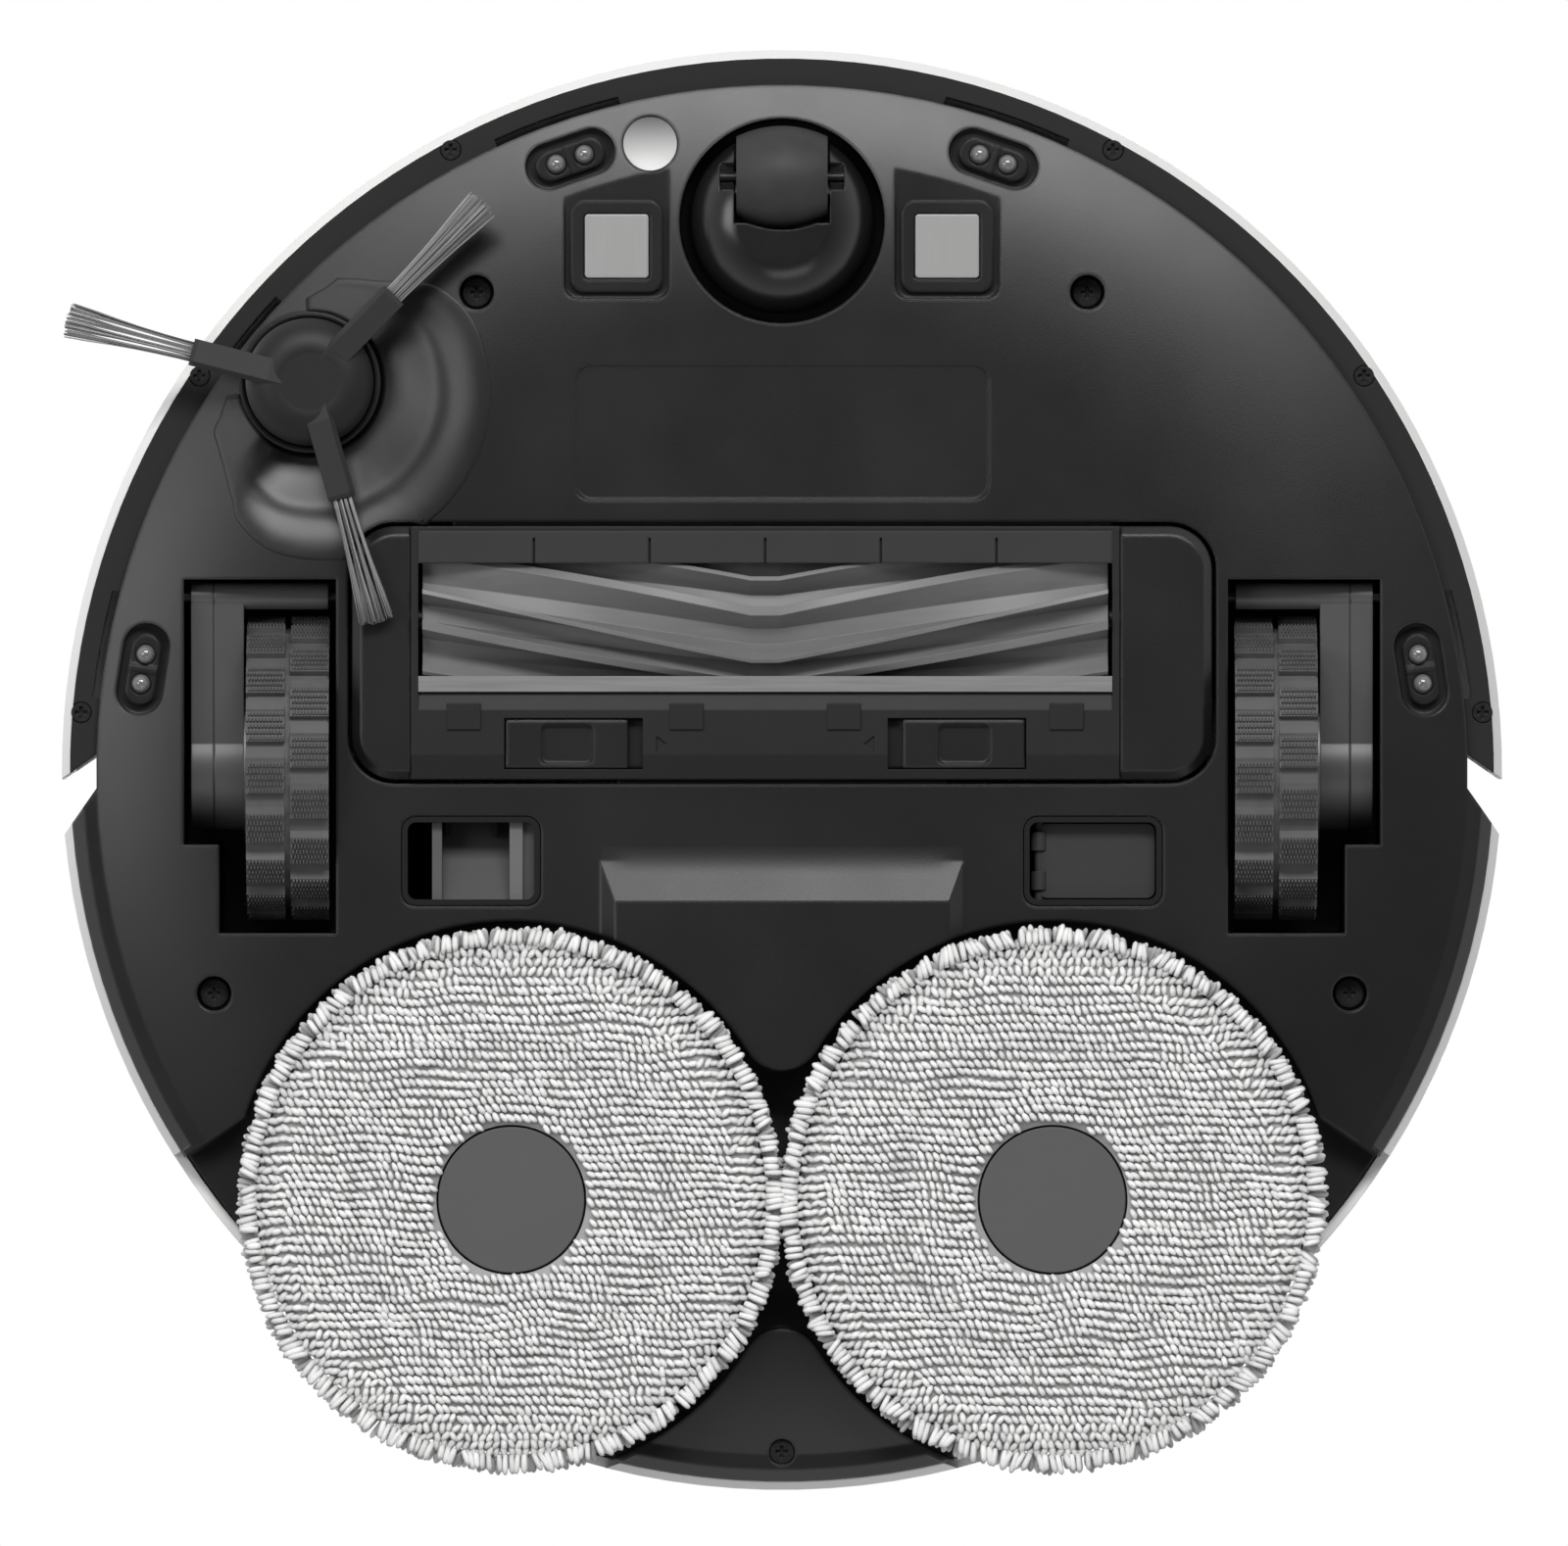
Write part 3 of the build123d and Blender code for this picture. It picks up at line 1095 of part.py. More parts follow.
def side_brush_bristles():
    """Three bristle tufts, each fused to the slice of arm that holds it."""
    start = ARM_LENGTH - BACKING
    width, height = ARM_WIDTH - 4 * STRAND_SIDE, ARM_HEIGHT - 4 * STRAND_SIDE
    mid_z = ARM_END_Z + ARM_HEIGHT / 2
    strands = []
    for across in range(STRANDS_ACROSS):
        for up in range(STRANDS_UP):
            u = across / (STRANDS_ACROSS - 1) - 0.5
            v = up / (STRANDS_UP - 1) - 0.5
            root = Vector(ARM_LENGTH - BACKING / 2, width * u, mid_z + height * v)
            reach = math.sqrt(TUFT_REACH ** 2 - (TUFT_TIP_W * u) ** 2)
            tip = Vector(reach, TUFT_TIP_W * u, TUFT_TIP_Z + TUFT_TIP_H * (v + 0.5))
            section = Plane(origin=root, z_dir=(1, 0, 0)) * Rectangle(STRAND_SIDE, STRAND_SIDE)
            strands.append(Solid.extrude(section.face(), tip - root))
    slice_block = block(start, ARM_LENGTH, -ARM_WIDTH / 2, ARM_WIDTH / 2, ARM_END_Z, ARM_END_Z + ARM_HEIGHT)
    tuft = slice_block.solid().fuse(*strands)
    place = Pos(BRUSH_X, BRUSH_Y, 0)
    return Compound(children=[place * Rot(0, 0, BRUSH_ANGLE + 120 * arm) * tuft for arm in range(3)])


def side_brush_motor():
    """Side brush motor on the roof of the dish."""
    z0 = DISH_ROOF + DISH_WALL
    motor = drum(BRUSH_X, BRUSH_Y, SIDE_MOTOR_R, z0, z0 + SIDE_MOTOR_H)
    return motor - drum(BRUSH_X, BRUSH_Y, SPINDLE_R + RUN, z0, z0 + SPINDLE_ENTRY + GAP)


def brush_housing():
    """Roller chamber with its two fixed end caps and the passage to the dust bin."""
    y0, y1 = BAY_Y0 + BAY_GAP, BAY_Y1 - BAY_GAP
    corner = BAY_CORNER - BAY_GAP
    shell = round_block(-CAP_X, CAP_X, y0, y1, GUARD_Z, HOUSING_TOP, corner)
    shell = chamfer(shell.edges().group_by(Axis.Z)[0], CAP_BEVEL)
    shell -= block(GUARD_X0, GUARD_X1, y0 - 1, y1 + 1, 0, GUARD_TOP + SEAM)
    shell -= block(GUARD_X0, GUARD_X1, y0 + HOUSING_WALL, y1 - HOUSING_WALL, 0, CHAMBER_TOP)
    shell -= block(-MOUTH_X, MOUTH_X, y0 - 1, y0 + HOUSING_WALL + 1, MOUTH_Z0, MOUTH_Z1)
    z0, z1 = FLOOR_Z, FLOOR_Z + FLANGE_T
    shell += block(-FLANGE_X, FLANGE_X, y1 - HOUSING_WALL, BAY_Y1 + FLANGE_REACH, z0, z1)
    shell += block(-FLANGE_X / 2, FLANGE_X / 2, BAY_Y0 - FLANGE_REACH, y0 + HOUSING_WALL, z0, z1)
    shell -= rod(GUARD_X0 - JOURNAL_L - GAP, GUARD_X1 + JOURNAL_L + GAP, ROLLER_Y, ROLLER_Z, JOURNAL_R + RUN)
    return shell


def brush_motor():
    """Motor of the main brush, on a flat foot on the chamber's roof."""
    x0 = -CAP_X + CAP_BEVEL
    z = HOUSING_TOP + BRUSH_MOTOR_R + 1
    motor = rod(x0, x0 + BRUSH_MOTOR_L, BRUSH_MOTOR_Y, z, BRUSH_MOTOR_R)
    foot = block(x0, x0 + BRUSH_MOTOR_L, BRUSH_MOTOR_Y - 8, BRUSH_MOTOR_Y + 8, HOUSING_TOP, HOUSING_TOP + 3)
    return motor + foot


def roller_span():
    """Ends of the roller's rubber."""
    margin = SEAM + GUARD_RAIL + ROLLER_PLAY
    return GUARD_X0 + margin, GUARD_X1 - margin


def fin_points():
    """Star section of the roller's rubber: thin upright fins between wide leaning blades."""
    points = []
    pitch = 2 * math.pi / FIN_COUNT
    for index in range(FIN_COUNT):
        base = index * pitch
        if index % 2:
            shape = ((FIN_ROOT_R, -0.16), (ROLLER_R - 1.0, 0.05), (ROLLER_R - 1.0, 0.17), (FIN_ROOT_R, 0.16))
        else:
            shape = ((FIN_ROOT_R, -0.07), (ROLLER_R, -0.03), (ROLLER_R, 0.03), (FIN_ROOT_R, 0.07))
        points += [(r * math.cos(base + a), r * math.sin(base + a)) for r, a in shape]
    return points


def roller_fins():
    """Rubber sleeve with chevron fins whose points trail towards the rear."""
    x0, x1 = roller_span()
    middle = (x0 + x1) / 2
    outline = [(0, y, z) for y, z in fin_points()]
    star = make_face(Polyline(*outline, close=True)).face()
    bridge = Solid.extrude(star, (BRIDGE, 0, 0)).moved(Pos(-BRIDGE / 2, 0, 0))
    reach = (x1 - x0 - BRIDGE) / 2
    right = Solid.extrude_linear_with_rotation(star, (0, 0, 0), (reach, 0, 0), FIN_TWIST)
    left = Solid.extrude_linear_with_rotation(star, (0, 0, 0), (-reach, 0, 0), -FIN_TWIST)
    sleeve = Part() + bridge + right.moved(Pos(BRIDGE / 2, 0, 0)) + left.moved(Pos(-BRIDGE / 2, 0, 0))
    sleeve -= rod(x0 - middle, x1 - middle, 0, 0, CORE_R)
    return Pos(middle, ROLLER_Y, ROLLER_Z) * sleeve


def roller_core():
    """Stiff core of the roller, with its journals."""
    x0, x1 = roller_span()
    core = rod(x0, x1, ROLLER_Y, ROLLER_Z, CORE_R)
    return core + rod(GUARD_X0 - JOURNAL_L, GUARD_X1 + JOURNAL_L, ROLLER_Y, ROLLER_Z, JOURNAL_R)


def roller_space():
    """Room that the turning roller needs."""
    x0, x1 = roller_span()
    return rod(x0 - ROLLER_PLAY, x1 + ROLLER_PLAY, ROLLER_Y, ROLLER_Z, ROLLER_R + GAP)


def latch_window(side, grow):
    """Plan limits of a latch window in the guard."""
    outer = GUARD_MID + side * (LATCH_SPREAD + LATCH_L / 2 + LATCH_TRAVEL / 2 + GAP)
    inner = GUARD_MID + side * (LATCH_SPREAD - LATCH_L / 2 - LATCH_TRAVEL / 2 - GAP)
    x0, x1 = sorted((inner, outer))
    half = LATCH_W / 2 + GAP
    return x0 - grow, x1 + grow, LATCH_Y - half - grow, LATCH_Y + half + grow


def brush_guard():
    """Removable guard round the roller's mouth."""
    x0, x1 = GUARD_X0 + SEAM, GUARD_X1 - SEAM
    guard = block(x0, x1, GUARD_Y0, GUARD_Y1, GUARD_Z, GUARD_TOP)
    guard -= block(x0 + GUARD_RAIL, x1 - GUARD_RAIL, WINDOW_Y0, WINDOW_Y1, 0, FAR)
    guard -= roller_space()
    flap_x0, flap_x1, flap_y0, flap_y1 = flap_limits()
    guard -= block(flap_x0, flap_x1, flap_y0 - 1, flap_y1, 0, GUARD_Z + FLAP_T)
    groove_top = GUARD_Z + SCRAPER_T - SCRAPER_PROUD
    guard -= block(x0 + GUARD_RAIL, x1 - GUARD_RAIL, WINDOW_Y0 - SCRAPER_W, WINDOW_Y0, 0, groove_top)
    lead = WINDOW_Y0 - SCRAPER_W
    slope = [(lead - GUARD_LEAD_W, GUARD_Z), (lead, GUARD_Z), (lead, GUARD_Z + GUARD_LEAD_RISE)]
    guard -= ramp(x0 + GUARD_RAIL, x1 - GUARD_RAIL, slope)
    slope = [(GUARD_Y0 + GUARD_TAIL_W, GUARD_Z), (GUARD_Y0, GUARD_Z), (GUARD_Y0, GUARD_Z + GUARD_TAIL_RISE)]
    guard -= ramp(x0, x1, slope)
    for share in STUD_SHARES:
        for side in (1, -1):
            x = GUARD_MID + side * share * GUARD_HALF
            guard += block(x - STUD_W / 2, x + STUD_W / 2, STUD_Y - STUD_L / 2, STUD_Y + STUD_L / 2,
                           GUARD_Z - STUD_PROUD, GUARD_Z + GUARD_LEAD_RISE)
    for side in (1, -1):
        guard -= block(*latch_window(side, 0), 0, FAR)
        tip = GUARD_MID + side * (LATCH_SPREAD - LATCH_L / 2 - LATCH_TRAVEL - ARROW_OFFSET)
        base = tip + side * ARROW_L
        corners = [(tip, LATCH_Y), (base, LATCH_Y - ARROW_W / 2), (base, LATCH_Y + ARROW_W / 2)]
        guard -= prism(corners, 0, GUARD_Z + ARROW_DEPTH)
    return guard


def flap_limits():
    """Plan limits of the soft strip along the guard's front."""
    return GUARD_X0 + SEAM + GUARD_RAIL, GUARD_X1 - SEAM - GUARD_RAIL, WINDOW_Y1, GUARD_Y1 - GUARD_RAIL / 2


def guard_flaps():
    """Soft slit strip ahead of the roller."""
    x0, x1, y0, y1 = flap_limits()
    strip = block(x0, x1, y0, y1, GUARD_Z, GUARD_Z + FLAP_T)
    for index in range(FLAP_SLITS):
        x = x0 + (x1 - x0) * (index + 1) / (FLAP_SLITS + 1)
        strip -= block(x - FLAP_SLIT_W / 2, x + FLAP_SLIT_W / 2, y0, y1 - GUARD_RAIL, 0, FAR)
    return strip


def guard_scraper():
    """Pale strip along the rear of the roller's mouth."""
    x0, x1 = GUARD_X0 + SEAM + GUARD_RAIL, GUARD_X1 - SEAM - GUARD_RAIL
    low = GUARD_Z - SCRAPER_PROUD
    return block(x0, x1, WINDOW_Y0 - SCRAPER_W, WINDOW_Y0, low, low + SCRAPER_T)


def guard_latch(side):
    """Sliding latch of the guard, resting at the outer end of its window."""
    x0, x1, y0, y1 = latch_window(side, -GAP)
    if side > 0:
        x0 = x1 - LATCH_L
    else:
        x1 = x0 + LATCH_L
    tab = block(x0, x1, y0, y1, GUARD_Z + GAP, GUARD_TOP + GAP)
    tab = chamfer(tab.edges().group_by(Axis.Z)[0], GAP)
    ledge = LATCH_TRAVEL + LATCH_LEDGE
    tab += block(x0 - ledge, x1 + ledge, y0, y1, GUARD_TOP + GAP, GUARD_TOP + GAP + LATCH_T / 2)
    grip_x = (x0 + x1) / 2
    tab -= round_block(grip_x - LATCH_GRIP_L / 2, grip_x + LATCH_GRIP_L / 2,
                       LATCH_Y - LATCH_GRIP_W / 2, LATCH_Y + LATCH_GRIP_W / 2,
                       0, GUARD_Z + GAP + LATCH_GRIP_DEPTH, LATCH_GRIP_CORNER)
    return tab


def duct(side):
    """Square duct behind a dust port, closed at its top."""
    x0, x1 = PORT_X0 + SEAM, PORT_X1 - SEAM
    y0, y1 = PORT_Y0 + SEAM, PORT_Y1 - SEAM
    tube = round_block(x0, x1, y0, y1, CLEARANCE + GAP, DUCT_TOP, PORT_CORNER - SEAM)
    tube -= round_block(x0 + DUCT_WALL, x1 - DUCT_WALL, y0 + DUCT_WALL, y1 - DUCT_WALL,
                        0, DUCT_TOP - DUCT_WALL, PORT_CORNER - SEAM - DUCT_WALL)
    return tube if side > 0 else mirrored(tube)


def dust_outlet():
    """Right dust port: an open duct with two upright ribs."""
    tube = duct(1)
    third = (PORT_X1 - PORT_X0) / 3
    for index in (1, 2):
        x = PORT_X0 + index * third
        y = PORT_Y1 - SEAM - DUCT_WALL
        tube += block(x - RIB_T / 2, x + RIB_T / 2, y - RIB_DEPTH, y + DUCT_WALL / 2,
                      CLEARANCE + RIB_RISE, DUCT_TOP - DUCT_WALL / 2)
    return tube


def flap_hinge():
    """Hinge line of the left dust port's flap, as X and Z."""
    return -(PORT_X0 + SEAM + DUCT_WALL + KNUCKLE_R + GAP), DUCT_FLAP_Z + KNUCKLE_R / 2


def dust_inlet():
    """Left dust port: the duct that carries the flap."""
    x, z = flap_hinge()
    return duct(-1) - rod_y(x, PORT_Y0 + SEAM, PORT_Y1 - SEAM, z, FLAP_PIN_R + RUN)


def dust_flap():
    """Flap of the left dust port, with its knuckles and pin."""
    x, z = flap_hinge()
    y0, y1 = PORT_Y0 + SEAM + DUCT_WALL + GAP, PORT_Y1 - SEAM - DUCT_WALL - GAP
    far_x = -(PORT_X1 - SEAM - DUCT_WALL - GAP)
    corner = PORT_CORNER - SEAM - DUCT_WALL
    flap = round_block(far_x, x, y0, y1, DUCT_FLAP_Z, DUCT_FLAP_Z + DUCT_FLAP_T, corner)
    length = (y1 - y0) / 4
    flap += rod_y(x, y0 + corner, y0 + corner + length, z, KNUCKLE_R)
    flap += rod_y(x, y1 - corner - length, y1 - corner, z, KNUCKLE_R)
    return flap + rod_y(x, PORT_Y0 + 2 * SEAM, PORT_Y1 - 2 * SEAM, z, FLAP_PIN_R)


def mop_pad(side):
    """Thick yarn pad with round sides and a ring channel."""
    half = CHANNEL_W / 2
    bend = PAD_EDGE * (1 - math.sqrt(0.5))
    inner = PAD_HOLE_R + PAD_EDGE / 2
    outer = PAD_R - PAD_EDGE
    pad = turned(
        line((PAD_R - PAD_EDGE / 2, PAD_T), (PAD_HOLE_R, PAD_T), (PAD_HOLE_R, PAD_EDGE / 2)),
        arc((PAD_HOLE_R, PAD_EDGE / 2), (PAD_HOLE_R + bend / 2, bend / 2), (inner, 0)),
        line((inner, 0), (CHANNEL_R - half, 0)),
        arc((CHANNEL_R - half, 0), (CHANNEL_R, CHANNEL_DEPTH), (CHANNEL_R + half, 0)),
        line((CHANNEL_R + half, 0), (outer, 0)),
        arc((outer, 0), (PAD_R - bend, bend), (PAD_R, PAD_EDGE)),
        arc((PAD_R, PAD_EDGE), (PAD_R - bend / 2, PAD_T - bend), (PAD_R - PAD_EDGE / 2, PAD_T)),
    )
    return Pos(side * MOP_X, MOP_Y, 0) * pad


def mop_plate(side):
    """Stiff plate over a pad, with the grey disc that shows through its middle."""
    x = side * MOP_X
    plate = drum(x, MOP_Y, MOP_PLATE_R, PAD_T, PAD_T + MOP_PLATE_T)
    disc = drum(x, MOP_Y, DISC_R, DISC_LOW, PAD_T)
    disc = fillet(disc.edges().group_by(Axis.Z)[0], GAP)
    return plate + disc + drum(x, MOP_Y, MOP_BOSS_R, PAD_T + MOP_PLATE_T, MOP_TOP)


def mop_shaft(side):
    """Drive shaft of a mop, with the collar that hangs it in the carriage."""
    x = side * MOP_X
    shaft = drum(x, MOP_Y, SHAFT_R, MOP_TOP, CARRIAGE_TOP + COLLAR_T)
    return shaft + drum(x, MOP_Y, COLLAR_R, CARRIAGE_TOP + RUN, CARRIAGE_TOP + COLLAR_T)


def mop_carriage():
    """Lifting beam that carries both mop shafts on two guide posts."""
    x1 = MOP_X + CARRIAGE_MARGIN
    y0, y1 = MOP_Y - CARRIAGE_MARGIN, MOP_Y + CARRIAGE_MARGIN
    beam = round_block(-x1, x1, y0, y1, CARRIAGE_Z, CARRIAGE_TOP, CARRIAGE_CORNER)
    beam -= both_sides(drum(MOP_X, MOP_Y, SHAFT_R + RUN, 0, FAR))
    beam -= both_sides(drum(GUIDE_X, MOP_Y, GUIDE_R + RUN, 0, FAR))
    return beam


def mop_motor():
    """Motor that turns both mops."""
    return drum(0, MOP_Y, MOP_MOTOR_R, CARRIAGE_TOP, CARRIAGE_TOP + MOP_MOTOR_H)


def dust_bin():
    """Lift-out dust bin with its mouth at the front."""
    body = round_block(-BIN_X, BIN_X, BIN_Y0, BIN_Y1, BIN_Z, BIN_TOP, 3 * BIN_WALL)
    body -= block(-BIN_X + BIN_WALL, BIN_X - BIN_WALL, BIN_Y0 + BIN_WALL, BIN_Y1 - BIN_WALL,
                  BIN_Z + BIN_WALL, BIN_TOP - BIN_WALL)
    return body - block(-MOUTH_X, MOUTH_X, BIN_Y1 - 2 * BIN_WALL, FAR, MOUTH_Z0, MOUTH_Z1)


def battery_pack():
    """Battery in its wrapped case."""
    return round_block(BATTERY_X0, BATTERY_X1, BATTERY_Y0, BATTERY_Y1, BATTERY_Z, BATTERY_Z + BATTERY_H, 3.0)


def suction_fan():
    """Sealed suction fan."""
    fan = drum(FAN_X, FAN_Y, FAN_R, BATTERY_Z, BATTERY_Z + FAN_H)
    fan -= drum(FAN_X, FAN_Y, FAN_R / 2, BATTERY_Z + FAN_H - 6, FAR)
    return fan


def pieces():
    """Every piece of the robot under its own name."""
    nodes = {
        "chassis": chassis(),
        "upper_shell": upper_shell(),
        "top_cover": top_cover(),
        "power_button": button(BUTTON_PITCH / 2),
        "home_button": button(-BUTTON_PITCH / 2),
        "lidar_cover": lidar_cover(),
        "lidar_head": lidar_head(),
        "main_board": main_board(),
        "battery_pack": battery_pack(),
        "suction_fan": suction_fan(),
        "dust_bin": dust_bin(),
        "bumper_skin": bumper_skin(),
        "bumper_lip": bumper_lip(),
        "bumper_screws": bumper_screws(),
        "chassis_screws": chassis_screws(),
        "caster_socket": caster_socket(),
        "caster_fork": caster_fork(),
        "caster_wheel": caster_wheel(),
        "caster_axle": caster_axle(),
        "contact_frames": contact_frames(),
        "charge_contacts": charge_contacts(),
        "carpet_sensor": carpet_sensor(),
        "cliff_sensors": cliff_sensors(),
        "cliff_lenses": cliff_lenses(),
        "arm_pins": arm_pins(),
        "side_brush_hub": side_brush_hub(),
        "side_brush_bristles": side_brush_bristles(),
        "side_brush_motor": side_brush_motor(),
        "brush_housing": brush_housing(),
        "brush_motor": brush_motor(),
        "roller_core": roller_core(),
        "roller_fins": roller_fins(),
        "brush_guard": brush_guard(),
        "guard_flaps": guard_flaps(),
        "guard_scraper": guard_scraper(),
        "right_guard_latch": guard_latch(1),
        "left_guard_latch": guard_latch(-1),
        "dust_outlet": dust_outlet(),
        "dust_inlet": dust_inlet(),
        "dust_flap": dust_flap(),
        "mop_carriage": mop_carriage(),
        "mop_motor": mop_motor(),
    }
    for name, make in (
        ("wheel_box", wheel_box),
        ("wheel_arm", wheel_arm),
        ("wheel_motor", wheel_motor),
        ("wheel_hub", wheel_hub),
        ("tyre", tyre),
        ("suspension_spring", suspension_spring),
    ):
        piece = make()
        nodes["right_" + name] = piece
        nodes["left_" + name] = mirrored(piece)
    for name, make in (("mop_pad", mop_pad), ("mop_plate", mop_plate), ("mop_shaft", mop_shaft)):
        nodes["right_" + name] = make(1)
        nodes["left_" + name] = make(-1)
    return nodes


os.makedirs("parts", exist_ok=True)
for node, shape in pieces().items():
    export_step(shape, f"parts/{node}.step")
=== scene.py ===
"""Looks of a robot vacuum with two spinning mops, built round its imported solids."""
import json
import math
import random

import bmesh
import bpy
from mathutils import Matrix, Vector, noise
from mathutils.bvhtree import BVHTree


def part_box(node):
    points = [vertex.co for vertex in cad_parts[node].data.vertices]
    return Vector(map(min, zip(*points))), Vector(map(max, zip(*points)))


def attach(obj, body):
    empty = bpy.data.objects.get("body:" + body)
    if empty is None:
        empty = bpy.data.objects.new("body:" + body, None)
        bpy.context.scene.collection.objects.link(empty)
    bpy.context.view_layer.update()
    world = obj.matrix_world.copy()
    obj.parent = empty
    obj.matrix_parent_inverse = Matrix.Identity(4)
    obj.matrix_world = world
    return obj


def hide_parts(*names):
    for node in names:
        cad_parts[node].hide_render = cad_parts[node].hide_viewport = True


bl_info = {
    "name": "Robot vacuum looks",
    "version": (1, 0, 0),
    "blender": (4, 5, 0),
    "location": "3D View > Sidebar > Robot",
    "description": "Finishes, yarn mops, tyres, bristles and a studio for a robot vacuum",
    "category": "Object",
}

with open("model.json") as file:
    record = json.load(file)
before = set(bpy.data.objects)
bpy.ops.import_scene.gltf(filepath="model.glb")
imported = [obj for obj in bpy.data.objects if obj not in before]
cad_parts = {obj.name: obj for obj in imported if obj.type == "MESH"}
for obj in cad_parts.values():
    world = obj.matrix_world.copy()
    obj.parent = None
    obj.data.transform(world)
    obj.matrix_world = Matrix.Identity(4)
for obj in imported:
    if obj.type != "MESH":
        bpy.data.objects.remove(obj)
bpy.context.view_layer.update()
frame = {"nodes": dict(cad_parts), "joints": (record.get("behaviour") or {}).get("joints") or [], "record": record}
NODES = frame["nodes"]
MM = 0.001
TONE = "tone"
SIDES = ("right", "left")


def middle(node):
    """Centre of a CAD node's box."""
    low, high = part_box(node)
    return (low + high) / 2


def span(node):
    """Size of a CAD node's box."""
    low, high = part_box(node)
    return high - low


def joint_place(name):
    """Place of a joint, in metres."""
    return Vector(next(joint["pos_m"] for joint in frame["joints"] if joint["name"] == name))


# Sizes and colours that a user would change

def length_setting(name, text, default, precision=5):
    """A length that a user can change."""
    return bpy.props.FloatProperty(
        name=name, description=text, default=default, unit="LENGTH", precision=precision)


def colour_setting(name, text, default):
    """A colour that a user can change."""
    return bpy.props.FloatVectorProperty(
        name=name, description=text, default=default, subtype="COLOR", size=3)


def count_setting(name, text, default, least):
    """A whole number that a user can change."""
    return bpy.props.IntProperty(name=name, description=text, default=default, min=least)


class MopSettings(bpy.types.PropertyGroup):
    """Yarn of the two mop pads."""
    row_pitch: length_setting("Row pitch", "Distance between rows of loops", 2.25 * MM)
    loop_pitch: length_setting("Loop pitch", "Distance between loops in a row", 1.8 * MM)
    loop_length: length_setting("Loop length", "Distance between the two feet of a loop", 2.3 * MM)
    yarn_width: length_setting("Yarn width", "Thickness of the yarn", 1.42 * MM)
    lean: bpy.props.FloatProperty(
        name="Lean", description="Angle of a loop to its row", default=math.radians(48), subtype="ANGLE")
    fringe_length: length_setting("Fringe length", "Length of the loops round the rim", 5.7 * MM)
    colour: colour_setting("Colour", "Colour of the yarn", (0.80, 0.80, 0.795))


class TyreSettings(bpy.types.PropertyGroup):
    """Tread of the drive wheels."""
    lugs: count_setting("Lugs", "Lugs in each row", 18, 6)
    knurl_rows: count_setting("Knurl rows", "Rows of bumps on a lug", 5, 1)
    knurl_columns: count_setting("Knurl columns", "Bumps along a row", 11, 1)
    colour: colour_setting("Colour", "Colour of the rubber", (0.075, 0.075, 0.076))


class BristleSettings(bpy.types.PropertyGroup):
    """Tufts of the side brush."""
    strands: count_setting("Strands", "Strands in each tuft", 132, 20)
    strand_width: length_setting("Strand width", "Thickness of a strand", 0.32 * MM)
    colour: colour_setting("Colour", "Colour of the nylon", (0.22, 0.22, 0.224))


class ShellSettings(bpy.types.PropertyGroup):
    """Colours of the moulded pieces."""
    black: colour_setting("Black", "Colour of the underside", (0.006, 0.006, 0.0062))
    white: colour_setting("White", "Colour of the outer shell", (0.80, 0.80, 0.79))
    grey: colour_setting("Grey", "Colour of the mop discs", (0.085, 0.085, 0.086))


class StageSettings(bpy.types.PropertyGroup):
    """Camera, lamps and floor."""
    frame_width: length_setting("Frame width", "Width of the view at the underside", 0.3804, 4)
    distance: length_setting("Distance", "Camera distance", 9.0, 2)
    floor: colour_setting("Floor", "Colour of the floor", (0.82, 0.82, 0.81))


def settings(name):
    """One group of settings of the scene."""
    return getattr(bpy.context.scene, "robot_" + name)


# Shader expressions

X_AXIS, Y_AXIS, Z_AXIS = 0, 1, 2
# Sockets of a mix node that carry colours
MIX_DARK, MIX_LIGHT, MIX_RESULT = 6, 7, 2


